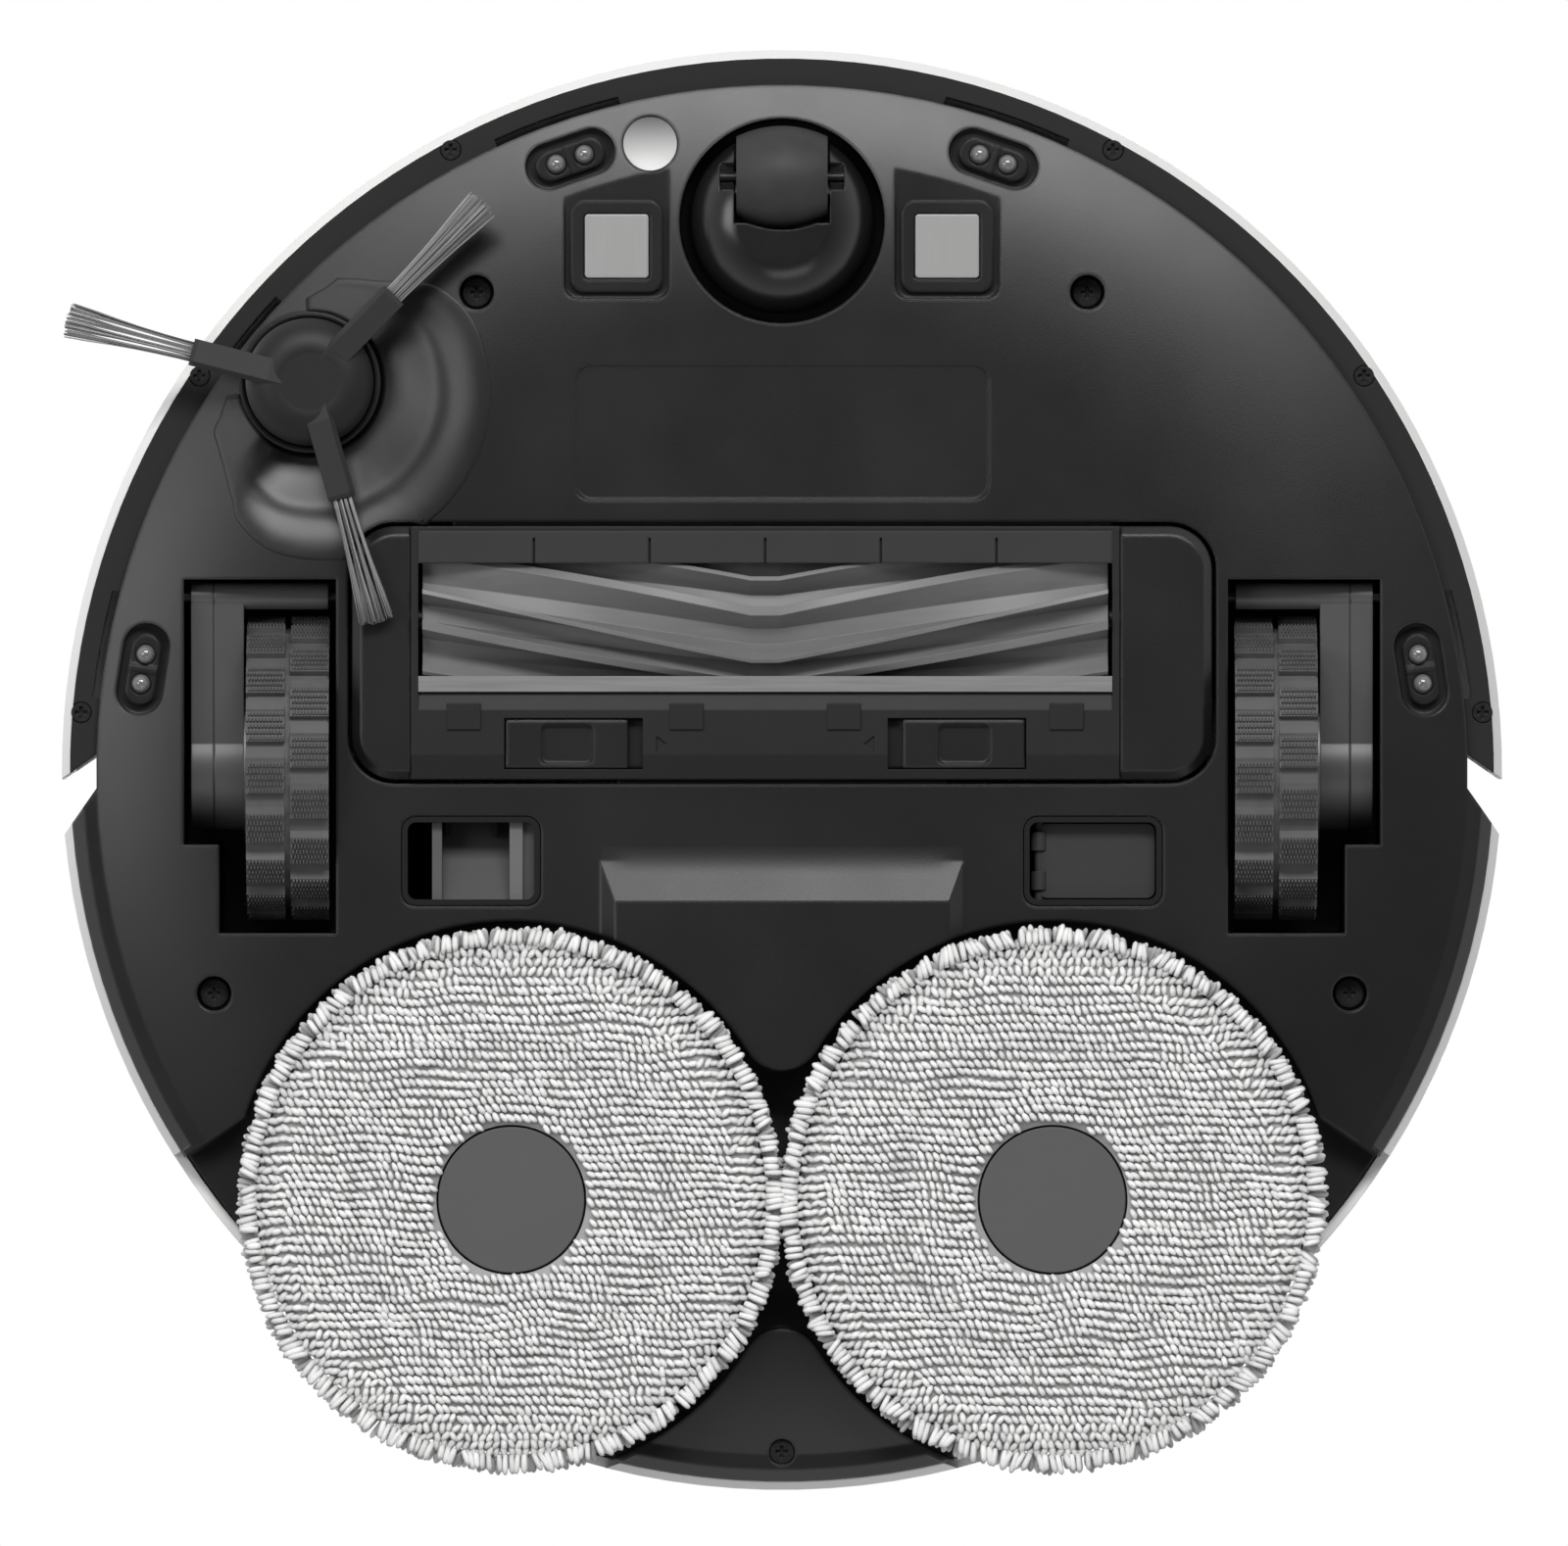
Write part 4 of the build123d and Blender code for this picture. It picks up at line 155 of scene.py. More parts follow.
class Wire:
    """A node's output that takes part in Python expressions."""

    def __init__(self, tree, socket):
        self.tree = tree
        self.socket = socket

    def node(self, kind, options=None, inputs=None, output=0):
        """Add a node, set its options first and then its inputs, and return one of its outputs."""
        made = self.tree.nodes.new(kind)
        for key, value in (options or {}).items():
            setattr(made, key, value)
        for key, value in (inputs or {}).items():
            if isinstance(value, Wire):
                self.tree.links.new(value.socket, made.inputs[key])
            else:
                made.inputs[key].default_value = value
        return Wire(self.tree, made.outputs[output])

    def maths(self, operation, *values):
        """A maths node over numbers and wires."""
        return self.node("ShaderNodeMath", {"operation": operation}, dict(enumerate(values)))

    def __add__(self, other):
        return self.maths("ADD", self, other)

    def __sub__(self, other):
        return self.maths("SUBTRACT", self, other)

    def __rsub__(self, other):
        return self.maths("SUBTRACT", other, self)

    def __mul__(self, other):
        return self.maths("MULTIPLY", self, other)

    __radd__ = __add__
    __rmul__ = __mul__

    def clip(self, low, high):
        """This value kept between two limits."""
        return self.node("ShaderNodeClamp", None, {"Value": self, "Min": low, "Max": high})

    def noise(self, scale, detail=2.0, roughness=0.5):
        """Cloudy noise at a scale per metre, read at this place."""
        values = {"Vector": self, "Scale": scale, "Detail": detail, "Roughness": roughness}
        return self.node("ShaderNodeTexNoise", None, values)

    def cells(self, scale):
        """Distance to the nearest of many scattered points."""
        return self.node("ShaderNodeTexVoronoi", None, {"Vector": self, "Scale": scale})

    def along(self, axis):
        """This place measured along one axis."""
        return self.node("ShaderNodeSeparateXYZ", None, {0: self}, axis)

    def tone(self):
        """Shade of a single loop or strand, from 0 to 1."""
        return self.node("ShaderNodeAttribute", {"attribute_name": TONE}, None, "Fac")

    def stretched(self, x, y, z):
        """This place with its axes scaled, for drawn-out grain."""
        return self.node("ShaderNodeVectorMath", {"operation": "MULTIPLY"}, {0: self, 1: (x, y, z)})

    def between(self, dark, light):
        """A colour between two, by this value."""
        values = {"Factor": self, MIX_DARK: (*dark, 1), MIX_LIGHT: (*light, 1)}
        return self.node("ShaderNodeMix", {"data_type": "RGBA"}, values, MIX_RESULT)


class Finish:
    """A material and its shader, ready for expressions."""

    def __init__(self, name):
        self.material = bpy.data.materials.new(name)
        self.material.use_nodes = True
        tree = self.material.node_tree
        self.shader = tree.nodes["Principled BSDF"]
        self.tree = tree
        self.place = Wire(tree, tree.nodes.new("ShaderNodeTexCoord").outputs["Object"])

    def put(self, **values):
        """Set or link the shader's sockets, with spaces in their names written as underscores."""
        for key, value in values.items():
            socket = self.shader.inputs[key.replace("_", " ")]
            if isinstance(value, Wire):
                self.tree.links.new(value.socket, socket)
            else:
                socket.default_value = value

    def relief(self, height, depth, strength, edge=0.0):
        """The material, with bump from a height and edges that catch the light as if slightly round."""
        values = {"Height": height, "Distance": depth, "Strength": strength}
        if edge:
            values["Normal"] = self.place.node("ShaderNodeBevel", {"samples": 4}, {"Radius": edge})
        self.put(Normal=self.place.node("ShaderNodeBump", None, values))
        return self.material


def tint(colour, factor):
    """A colour made lighter or darker."""
    return tuple(min(1.0, channel * factor) for channel in colour)


# Finishes, one function each

# Scale and detail of the noise in moulded plastic
MOULD_CLOUD = (35, 4)
MOULD_SPECKLE = (2600, 2)


def textured(name, grain, dark, light, rough, depth, spread=0.0, strength=0.4, edge=0.0,
             stretch=(1, 1, 1), cloud=None, cloud_spread=0.0, blend=0.0, **extra):
    """A finish with a grain in its colour, roughness and relief, and with cloudier patches if given.

    The grain and the cloud are a noise's scale and detail, the spreads are what each adds to the
    roughness, and the blend is the grain's share in the colour where there is a cloud.
    """
    finish = Finish(name)
    fine = finish.place.stretched(*stretch).noise(*grain)
    patches = finish.place.noise(*cloud) if cloud else fine
    finish.put(
        Base_Color=(patches * (1 - blend) + fine * blend).between(dark, light),
        Roughness=patches * cloud_spread + fine * spread + rough,
        **extra,
    )
    return finish.relief(fine, depth, strength, edge)


def moulded_black(name, colour, roughness=0.355, grain=0.00003, edge=0.0006, shine=0.5):
    """Spark-textured black plastic, a little uneven in sheen, with soft bright edges."""
    return textured(
        name, MOULD_SPECKLE, tint(colour, 0.82), tint(colour, 1.2), rough=roughness - 0.08, depth=grain,
        spread=0.06, strength=0.5, edge=edge, cloud=MOULD_CLOUD, cloud_spread=0.10, blend=0.4,
        Specular_IOR_Level=shine)


def dark_plastic():
    """Black plastic of the underside, with well rounded edges."""
    return moulded_black("moulded_black", settings("shell").black, edge=0.0012)


def lip_plastic():
    """Dull black plastic of the bumper's lip."""
    return moulded_black("lip_black", tint(settings("shell").black, 2.4), 0.6, 0.00002, shine=0.2)


def gloss_black():
    """Polished black plastic with faint haze and hairline scuffs."""
    return textured(
        "polished_black", (900, 2), (0.008, 0.008, 0.009), (0.014, 0.014, 0.015), rough=0.16, depth=0.00001,
        spread=0.05, strength=0.3, edge=0.0005, stretch=(1, 1, 6), cloud=(60, 3), cloud_spread=0.10,
        Specular_IOR_Level=0.5)


def white_plastic():
    """Satin white plastic under a thin, soft coat."""
    white = settings("shell").white
    return textured(
        "satin_white", (1800, 2), tint(white, 0.97), tint(white, 1.02), rough=0.48, depth=0.000012,
        spread=0.05, strength=0.3, edge=0.0006, cloud=(25, 3), cloud_spread=0.06, Coat_Weight=0.08,
        Coat_Roughness=0.3)


def grey_plastic():
    """Smooth grey plastic of the mop discs."""
    grey = settings("shell").grey
    return textured(
        "disc_grey", (3000, 1), tint(grey, 0.96), tint(grey, 1.05), rough=0.52, depth=0.00001,
        spread=0.08, edge=0.0003, cloud=(40, 3), Specular_IOR_Level=0.3)


def caster_plastic():
    """Hard grey wheel with fine turning marks round its axle."""
    return textured(
        "caster_grey", (1500, 2), (0.022, 0.022, 0.023), (0.042, 0.042, 0.043), rough=0.5, depth=0.00003,
        spread=0.12, strength=0.5, stretch=(1, 0.05, 0.05), cloud=(180, 4), Specular_IOR_Level=0.3)


def tyre_rubber():
    """Dull rubber with a dusty bloom."""
    colour = settings("tyres").colour
    return textured(
        "tread_rubber", (2400, 2), tint(colour, 0.8), tint(colour, 1.3), rough=0.58, depth=0.00002,
        strength=0.5, edge=0.0002, cloud=(220, 4), cloud_spread=0.12, Specular_IOR_Level=0.45)


def roller_rubber():
    """Soft grey rubber, satin, with a faint drawn grain along the fins."""
    return textured(
        "roller_rubber", (700, 3), (0.12, 0.12, 0.122), (0.19, 0.19, 0.192), rough=0.40, depth=0.00004,
        spread=0.12, strength=0.5, edge=0.0004, stretch=(0.08, 1, 1), cloud=(70, 3), blend=0.5,
        Specular_IOR_Level=0.45)


def strip_rubber():
    """Black soft strip with a matt face."""
    return moulded_black("strip_black", tint(settings("shell").black, 2.2), 0.5)


def scraper_plastic():
    """Pale strip with a brushed sheen along its length."""
    return textured(
        "scraper_pale", (1200, 3), (0.14, 0.14, 0.14), (0.25, 0.25, 0.25), rough=0.32, depth=0.00002,
        spread=0.15, strength=0.5, edge=0.0003, stretch=(0.04, 1, 1))


def bristle_nylon():
    """Grey nylon strands, some paler than others."""
    finish = Finish("bristle_nylon")
    colour = settings("bristles").colour
    uneven = finish.place.noise(900, 2)
    shade = finish.place.tone() * 0.85 + uneven * 0.15
    finish.put(
        Base_Color=shade.between(tint(colour, 0.3), tint(colour, 1.7)),
        Roughness=uneven * 0.1 + 0.34,
    )
    return finish.relief(uneven, 0.00002, 0.3)


def mop_yarn():
    """Twisted yarn: pale loops of uneven tone, with painted shade at their feet, where shade falls between the
    loops, and a pale fringe, with fine fibres.
    """
    finish = Finish("mop_yarn")
    colour = settings("mops").colour
    fibre = finish.place.stretched(1, 1, 0.5).noise(3800, 3)
    mottle = finish.place.tone() * 0.5 + fibre * 0.3 + finish.place.noise(60, 3) * 0.2
    shade = mottle * 0.8 + 0.4
    # Painted shade: the yarn darkens with depth towards the loops' feet, and the fringe above its rise is pale
    # again
    height = finish.place.along(Z_AXIS)
    face = (1.0 - (height - YARN_TOP) * (1 / YARN_DEPTH)).clip(0.0, 1.0)
    painted_light = face + ((height - FRINGE_RISE) * (1 / YARN_DEPTH)).clip(0.0, 0.8)
    finish.put(
        Base_Color=(shade * painted_light).between(tint(colour, 0.42), tint(colour, 1.14)),
        Roughness=fibre * 0.1 + 0.85,
        Sheen_Weight=0.15,
        Specular_IOR_Level=0.15,
    )
    return finish.relief(fibre, 0.0002, 0.6)


def contact_metal():
    """Plated contact with a fine brushed line."""
    return textured(
        "contact_metal", (2500, 3), (0.30, 0.30, 0.30), (0.335, 0.335, 0.33), rough=0.42, depth=0.00001,
        spread=0.08, edge=0.0004, stretch=(1, 0.03, 1), Metallic=0.3)


def steel():
    """Bright drawn steel."""
    return textured(
        "bright_steel", (2200, 3), (0.40, 0.40, 0.41), (0.56, 0.56, 0.57), rough=0.26, depth=0.00001,
        spread=0.15, stretch=(0.05, 1, 1), Metallic=1.0)


def black_screw():
    """Blackened steel with a worn bright trace."""
    return textured(
        "black_screw", (1500, 3), (0.006, 0.006, 0.006), (0.03, 0.03, 0.03), rough=0.30, depth=0.00001,
        spread=0.2, edge=0.0003, Metallic=0.6)


def sensor_face():
    """Pale dished face with painted shade, darker towards the front, as the dish's front part lies in shade under
    light from the front.
    """
    finish = Finish("sensor_face")
    centre = middle("carpet_sensor")
    reach = span("carpet_sensor").y
    # Painted light and shade: the dish is painted dark at its front and pale at its rear
    slope = ((centre.y - finish.place.along(Y_AXIS)) * (1 / reach) + 0.5).clip(0.0, 1.0)
    fine = finish.place.noise(3000, 2)
    finish.put(
        Base_Color=(slope * 0.95 + fine * 0.05).between((0.13, 0.13, 0.13), (0.72, 0.72, 0.715)),
        Roughness=fine * 0.1 + 0.42,
        Specular_IOR_Level=0.4,
    )
    return finish.relief(fine, 0.00001, 0.4)


def lens_plastic():
    """Dark clear lens with a hard shine."""
    return textured(
        "lens_dark", (700, 2), (0.08, 0.08, 0.081), (0.19, 0.19, 0.191), rough=0.16, depth=0.00001,
        spread=0.05, strength=0.2, Coat_Weight=1.0, Coat_Roughness=0.04)


def board_green():
    """Green solder mask over faint copper tracks."""
    finish = Finish("board_green")
    tracks = finish.place.stretched(1, 0.15, 1).cells(420)
    finish.put(
        Base_Color=tracks.between((0.006, 0.05, 0.02), (0.012, 0.10, 0.04)),
        Roughness=tracks * 0.1 + 0.3,
    )
    return finish.relief(tracks, 0.00003, 0.4)


def battery_wrap():
    """Blue shrink film with small wrinkles."""
    return textured(
        "battery_film", (160, 3), (0.012, 0.04, 0.14), (0.02, 0.06, 0.20), rough=0.28, depth=0.0003,
        spread=0.15, stretch=(1, 0.3, 1))


def motor_metal():
    """Grey passivated motor can."""
    return textured(
        "motor_can", (600, 4), (0.14, 0.14, 0.145), (0.24, 0.24, 0.25), rough=0.35, depth=0.00002,
        spread=0.2, edge=0.0005, Metallic=0.9)


def bin_plastic():
    """Smoked bin plastic with moulded grain."""
    return textured(
        "bin_smoke", (1400, 3), (0.035, 0.035, 0.04), (0.055, 0.055, 0.06), rough=0.22, depth=0.00001,
        spread=0.12, edge=0.0005, Coat_Weight=0.3)


def arm_plastic():
    """Lighter satin plastic of the wheel arms, with a moulded parting line along each."""
    finish = Finish("arm_grey")
    cloud = finish.place.noise(*MOULD_CLOUD)
    speckle = finish.place.noise(*MOULD_SPECKLE)
    across = finish.place.along(X_AXIS)
    away = across.maths("ABSOLUTE", across.maths("ABSOLUTE", across) - PARTING_X)
    plain = (away * (1 / PARTING_W)).clip(0.0, 1.0)
    finish.put(
        Base_Color=(plain * (cloud * 0.3 + 0.7)).between(tint(ARM_TONE, 0.2), tint(ARM_TONE, 1.15)),
        Roughness=cloud * 0.10 + speckle * 0.06 + 0.32,
        Specular_IOR_Level=0.5,
    )
    return finish.relief(plain * 6.0 + speckle, 0.00004, 0.5, 0.0006)


def port_plastic():
    """Grey plastic inside the dust ports, paler on the added ribs and ramp by their tones, which are partly
    painted light and shade.
    """
    finish = Finish("port_grey")
    cloud = finish.place.noise(60, 3)
    fine = finish.place.noise(2600, 2)
    finish.put(
        Base_Color=(finish.place.tone() * (cloud * 0.3 + 0.7)).between(PORT_TONE, tint(PORT_TONE, 6)),
        Roughness=cloud * 0.1 + fine * 0.06 + 0.42,
        Specular_IOR_Level=0.3,
    )
    return finish.relief(fine, 0.00003, 0.5, 0.0003)


def dull_plastic():
    """Duller black plastic of the brush guard and the side brush's hub."""
    return moulded_black("dull_black", tint(settings("shell").black, 1.6), 0.5, edge=0.0004, shine=0.3)


def brush_plastic():
    """Dull grey plastic of the side brush's arms."""
    return moulded_black("brush_black", BRUSH_TONE, 0.56, edge=0.0003, shine=0.3)


def panel_plastic():
    """Softer black plastic of the raised panel's slope."""
    return moulded_black("panel_black", settings("shell").black, 0.40, edge=0.0, shine=0.45)


def port_frame():
    """Dull black plastic of the dust ports' mouths."""
    return moulded_black("port_black", settings("shell").black, 0.6, edge=0.0002, shine=0.2)


# Pieces whose shade differs from the rest of their slot
ARM_TONE = (0.075, 0.075, 0.076)
PORT_TONE = (0.03, 0.03, 0.0305)
BRUSH_TONE = (0.02, 0.02, 0.0204)
PARTING_X = 138 * MM
PARTING_W = 0.35 * MM
OWN_FINISH = {
    "right_wheel_arm": arm_plastic, "left_wheel_arm": arm_plastic, "dust_flap": port_plastic,
    "dust_outlet": port_frame, "dust_inlet": port_frame, "caster_axle": black_screw,
    "arm_pins": black_screw, "brush_guard": dull_plastic, "side_brush_hub": dull_plastic,
}
FINISHES = (
    dark_plastic, lip_plastic, gloss_black, white_plastic, grey_plastic, caster_plastic, tyre_rubber,
    roller_rubber, strip_rubber, scraper_plastic, bristle_nylon, mop_yarn, contact_metal, steel,
    black_screw, sensor_face, lens_plastic, board_green, battery_wrap, motor_metal, bin_plastic,
)
# Finishes of added pieces that have no slot of their own
ADDED_FINISHES = (brush_plastic, panel_plastic)
MADE = {}


def finish_for(slot):
    """The material of a slot, made on first use."""
    if slot not in MADE:
        makers = (*FINISHES, *OWN_FINISH.values(), *ADDED_FINISHES)
        MADE[slot] = next(maker for maker in makers if maker.__name__ == slot)()
    return MADE[slot]


def slot_of(node):
    """The record's material slot of a CAD node."""
    return next(row["material_slot"] for row in frame["record"]["subparts"] if row["node"] == node)


# Mesh helpers

class Pile:
    """Many small shapes gathered into one mesh."""

    def __init__(self):
        self.points = []
        self.faces = []
        self.tones = []

    def add(self, points, faces, place=Matrix.Identity(4), tone=0.5):
        """Add a shape at a place, with a tone of its own."""
        start = len(self.points)
        self.points += [place @ Vector(point) for point in points]
        self.faces += [[start + index for index in face] for face in faces]
        self.tones += [tone] * len(points)

    def build(self, name, slot, smooth=True):
        """Make the object, with the finish of a slot."""
        mesh = bpy.data.meshes.new(name)
        mesh.from_pydata(self.points, [], self.faces)
        form = bmesh.new()
        form.from_mesh(mesh)
        bmesh.ops.recalc_face_normals(form, faces=form.faces)
        form.to_mesh(mesh)
        form.free()
        mesh.attributes.new(TONE, "FLOAT", "POINT").data.foreach_set("value", self.tones)
        mesh.polygons.foreach_set("use_smooth", [smooth] * len(mesh.polygons))
        piece = bpy.data.objects.new(name, mesh)
        bpy.context.scene.collection.objects.link(piece)
        piece.data.materials.append(finish_for(slot))
        return piece


def ring_faces(rings, sides):
    """Faces of a closed shape made of rings of points, one after the other."""
    faces = []
    for ring in range(rings - 1):
        for side in range(sides):
            a, b = ring * sides + side, ring * sides + (side + 1) % sides
            faces.append((a, b, b + sides, a + sides))
    last = (rings - 1) * sides
    return faces + [tuple(reversed(range(sides))), tuple(range(last, last + sides))]


def tube(path, radii, sides):
    """A closed tube through points, with a radius at each."""
    points = []
    for index, (centre, radius) in enumerate(zip(path, radii)):
        ahead = path[min(index + 1, len(path) - 1)] - path[max(index - 1, 0)]
        turn = ahead.to_track_quat("Z", "Y")
        for side in range(sides):
            angle = math.tau * side / sides
            points.append(centre + turn @ Vector((radius * math.cos(angle), radius * math.sin(angle), 0)))
    return points, ring_faces(len(path), sides)


def lathe(profile, sides):
    """A closed solid turned about Z from a closed loop of (radius, height) points."""
    points, faces = [], []
    count = len(profile)
    for side in range(sides):
        angle = math.tau * side / sides
        points += [Vector((r * math.cos(angle), r * math.sin(angle), z)) for r, z in profile]
    for side in range(sides):
        here, there = side * count, (side + 1) % sides * count
        for index in range(count):
            after = (index + 1) % count
            faces.append((here + index, there + index, there + after, here + after))
    return points, faces


def own(piece, body, slot, *nodes):
    """Let a piece ride on a body and stand for CAD nodes; the slot is not used."""
    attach(piece, body)
    if nodes:
        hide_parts(*nodes)
    return piece


# Mop pads

PAD_SEED = 11
PAD_SIDES = 128
HOLE_GAP = 0.5 * MM
DISC_BAND = 1.0 * MM
BACKING_RISE = 2.0 * MM
BACKING_SHARE = 0.7
BACKING_STEPS = 7
BACKING_DRAWN = 0.8
# Low tone of the backing: painted shade, as the backing lies in the shade between the loops
BACKING_PAINTED_SHADE = 0.2
# Sewn channel in the pad's face
CHANNEL_R = 38 * MM
CHANNEL_W = 2.0 * MM
CHANNEL_DEPTH = 0.4 * MM
# Heights of the painted shade in the yarn: pale up to the first, painted dark a depth further in, where shade
# falls between the loops, pale again at the fringe
YARN_TOP = 0.5 * MM
YARN_DEPTH = 1.75 * MM
FRINGE_RISE = 2.6 * MM
# Loops of the face: girth at the feet and its swell, how they are set, and random spreads
LOOP_SIDES = 6
LOOP_STEPS = 6
LOOP_FOOT = 0.42
LOOP_SWELL = 0.58
LOOP_SUNK = 0.6
LOOP_LIFT = 0.15 * MM
LOOP_TILT = 0.25
LOOP_SIZES = (0.9, 1.1)
LOOP_TONES = (0.3, 0.95)
HOLE_SHARE = 0.6
FACE_SHARE = 0.5
ROW_SWAY = 0.08
LOOP_SWAY = 0.1
LINE_SWAY = 0.07
TURN_SWAY = 0.18
# Wander that neighbouring loops share
WARP_SCALE = 70
WARP_SHARE = 0.6
WARP_TURN = 0.5
TURN_SCALE = 1.7
TURN_SHIFT = Vector((9, 4, 2))
# Loops near the rim, from this many fringe lengths inwards: turn, rise and growth
RIM_SHARE = 2.2
RIM_TURNED = 0.35
RIM_SWAY = 0.7
RIM_RISE = 0.45 * MM
RIM_GROWTH = 0.1
# Layers of the fringe: start along the rim in pitches, and height as a share of the pad's
FRINGE_LAYERS = ((0.0, 0.16), (0.5, 0.40), (0.25, 0.66))
FRINGE_PITCH = 1.14
FRINGE_PROUD = 2.3 * MM
FRINGE_END = 1.5
CLUMP_SIZES = (3, 5)
CLUMP_LEAN = 0.3
CLUMP_GATHER = 0.07
CLUMP_LENGTHS = (0.8, 1.0)
CLUMP_GAPS = (0.25, 0.7)
# One finger of the fringe: share of the way out, droop in millimetres and girth
FINGER = ((0.0, 0.0, 0.9), (0.35, 0.3, 1.05), (0.7, 0.2, 1.1), (0.9, 0.0, 0.95), (1.0, -0.2, 0.5))
FINGER_SIDES = 6
FINGER_LIFT = 0.35 * MM
FINGER_LEAN = 0.16
FINGER_SIZES = (0.85, 1.15)
FINGER_LENGTHS = (0.76, 1.0)
FINGER_TONES = (0.3, 0.9)


def sway(chance, size):
    """A random amount up to a size, either way."""
    return chance.uniform(-size, size)


def yarn_loop(length, height, width):
    """One yarn loop along X: it rises out of the backing, bends over and goes back in."""
    path, radii = [], []
    for step in range(LOOP_STEPS):
        turn = math.pi * step / (LOOP_STEPS - 1)
        path.append(Vector((-length / 2 * math.cos(turn), 0, -height * math.sin(turn))))
        radii.append(width / 2 * (LOOP_FOOT + LOOP_SWELL * math.sin(turn)))
    return tube(path, radii, LOOP_SIDES)


def pad_backing(low, high, reach, hole):
    """Plump backing of a pad, with drawn-in sides."""
    edge = (high - low) / 2
    face = low + BACKING_RISE
    profile = [(hole, high), (hole, face), (CHANNEL_R - CHANNEL_W, face)]
    profile += [(CHANNEL_R, face + CHANNEL_DEPTH), (CHANNEL_R + CHANNEL_W, face)]
    for step in range(BACKING_STEPS):
        turn = math.pi * step / (BACKING_STEPS - 1) - math.pi / 2
        height = (high + face) / 2 + (edge - BACKING_RISE / 2) * math.sin(turn)
        profile.append((reach - edge * (1 - math.cos(turn)) * BACKING_DRAWN, height))
    return lathe(list(reversed(profile)), PAD_SIDES)


def loop_rows(reach, hole, mops, chance):
    """Places of the loops: rows across the pad that wander together, as (x, y, turn)."""
    across, along = mops.row_pitch, mops.loop_pitch
    inside = hole + HOLE_SHARE * mops.yarn_width
    outside = reach - FACE_SHARE * mops.fringe_length
    for row in range(int(2 * reach / across) + 2):
        shift = chance.uniform(0, along)
        y0 = -reach + (row - 0.5) * across + sway(chance, ROW_SWAY) * across
        for index in range(int(2 * reach / along) + 2):
            x = -reach + (index - 1) * along + shift + sway(chance, LOOP_SWAY) * along
            spot = Vector((x, y0, 0)) * WARP_SCALE
            y = y0 + WARP_SHARE * across * noise.noise(spot) + sway(chance, LINE_SWAY) * across
            warp = WARP_TURN * noise.noise(spot * TURN_SCALE + TURN_SHIFT)
            turn = mops.lean + warp + sway(chance, TURN_SWAY)
            if inside < math.hypot(x, y) < outside:
                yield x, y, turn


def add_face_loops(pile, low, reach, hole, mops, chance):
    """Cover the pad's face with loops, sunk along the sewn channel and turned outwards near the rim."""
    height = BACKING_RISE - mops.yarn_width * LOOP_SUNK
    for x, y, turn in loop_rows(reach, hole, mops, chance):
        distance = math.hypot(x, y)
        sunk = CHANNEL_DEPTH * math.exp(-((distance - CHANNEL_R) / CHANNEL_W) ** 2)
        rim = max(0.0, distance - (reach - RIM_SHARE * mops.fringe_length)) / mops.fringe_length
        if rim > RIM_TURNED:
            turn = math.atan2(y, x) + sway(chance, RIM_SWAY)
        z = low + BACKING_RISE + sunk + RIM_RISE * rim ** 2 + sway(chance, LOOP_LIFT)
        size = chance.uniform(*LOOP_SIZES) * (1 + RIM_GROWTH * rim)
        shape = yarn_loop(mops.loop_length * size, height, mops.yarn_width * size)
        tilt = Matrix.Rotation(sway(chance, LOOP_TILT), 4, "Y")
        place = Matrix.Translation((x, y, z)) @ Matrix.Rotation(turn, 4, "Z") @ tilt
        pile.add(*shape, place, chance.uniform(*LOOP_TONES))


def add_fringe(pile, low, high, reach, mops, chance):
    """Finger-like loops round the rim, in small clumps with gaps between them."""
    pitch = mops.yarn_width * FRINGE_PITCH
    root = reach + FRINGE_PROUD - mops.fringe_length
    for start, level in FRINGE_LAYERS:
        angle = start * pitch / reach
        stop = angle + math.tau - FRINGE_END * pitch / reach
        while angle < stop:
            clump = chance.randint(*CLUMP_SIZES)
            lean = sway(chance, CLUMP_LEAN)
            length = mops.fringe_length * chance.uniform(*CLUMP_LENGTHS)
            for index in range(clump):
                gather = lean - (index - (clump - 1) / 2) * CLUMP_GATHER
                add_finger(pile, low + (high - low) * level, root, angle, gather, length, mops, chance)
                angle += pitch / reach
            angle += chance.uniform(*CLUMP_GAPS) * pitch / reach


def add_finger(pile, level, root, angle, lean, length, mops, chance):
    """One loop of the fringe, with a blunt round end."""
    z = level + sway(chance, FINGER_LIFT)
    size = chance.uniform(*FINGER_SIZES) * mops.yarn_width / 2
    lean += sway(chance, FINGER_LEAN)
    reach = length * chance.uniform(*FINGER_LENGTHS) - size / 2
    path = [Vector((reach * along, 0, -drop * MM)) for along, drop, _ in FINGER]
    radii = [size * girth for _, _, girth in FINGER]
    rooted = Matrix.Rotation(angle, 4, "Z") @ Matrix.Translation((root, 0, z))
    place = rooted @ Matrix.Rotation(lean, 4, "Z")
    pile.add(*tube(path, radii, FINGER_SIDES), place, chance.uniform(*FINGER_TONES))


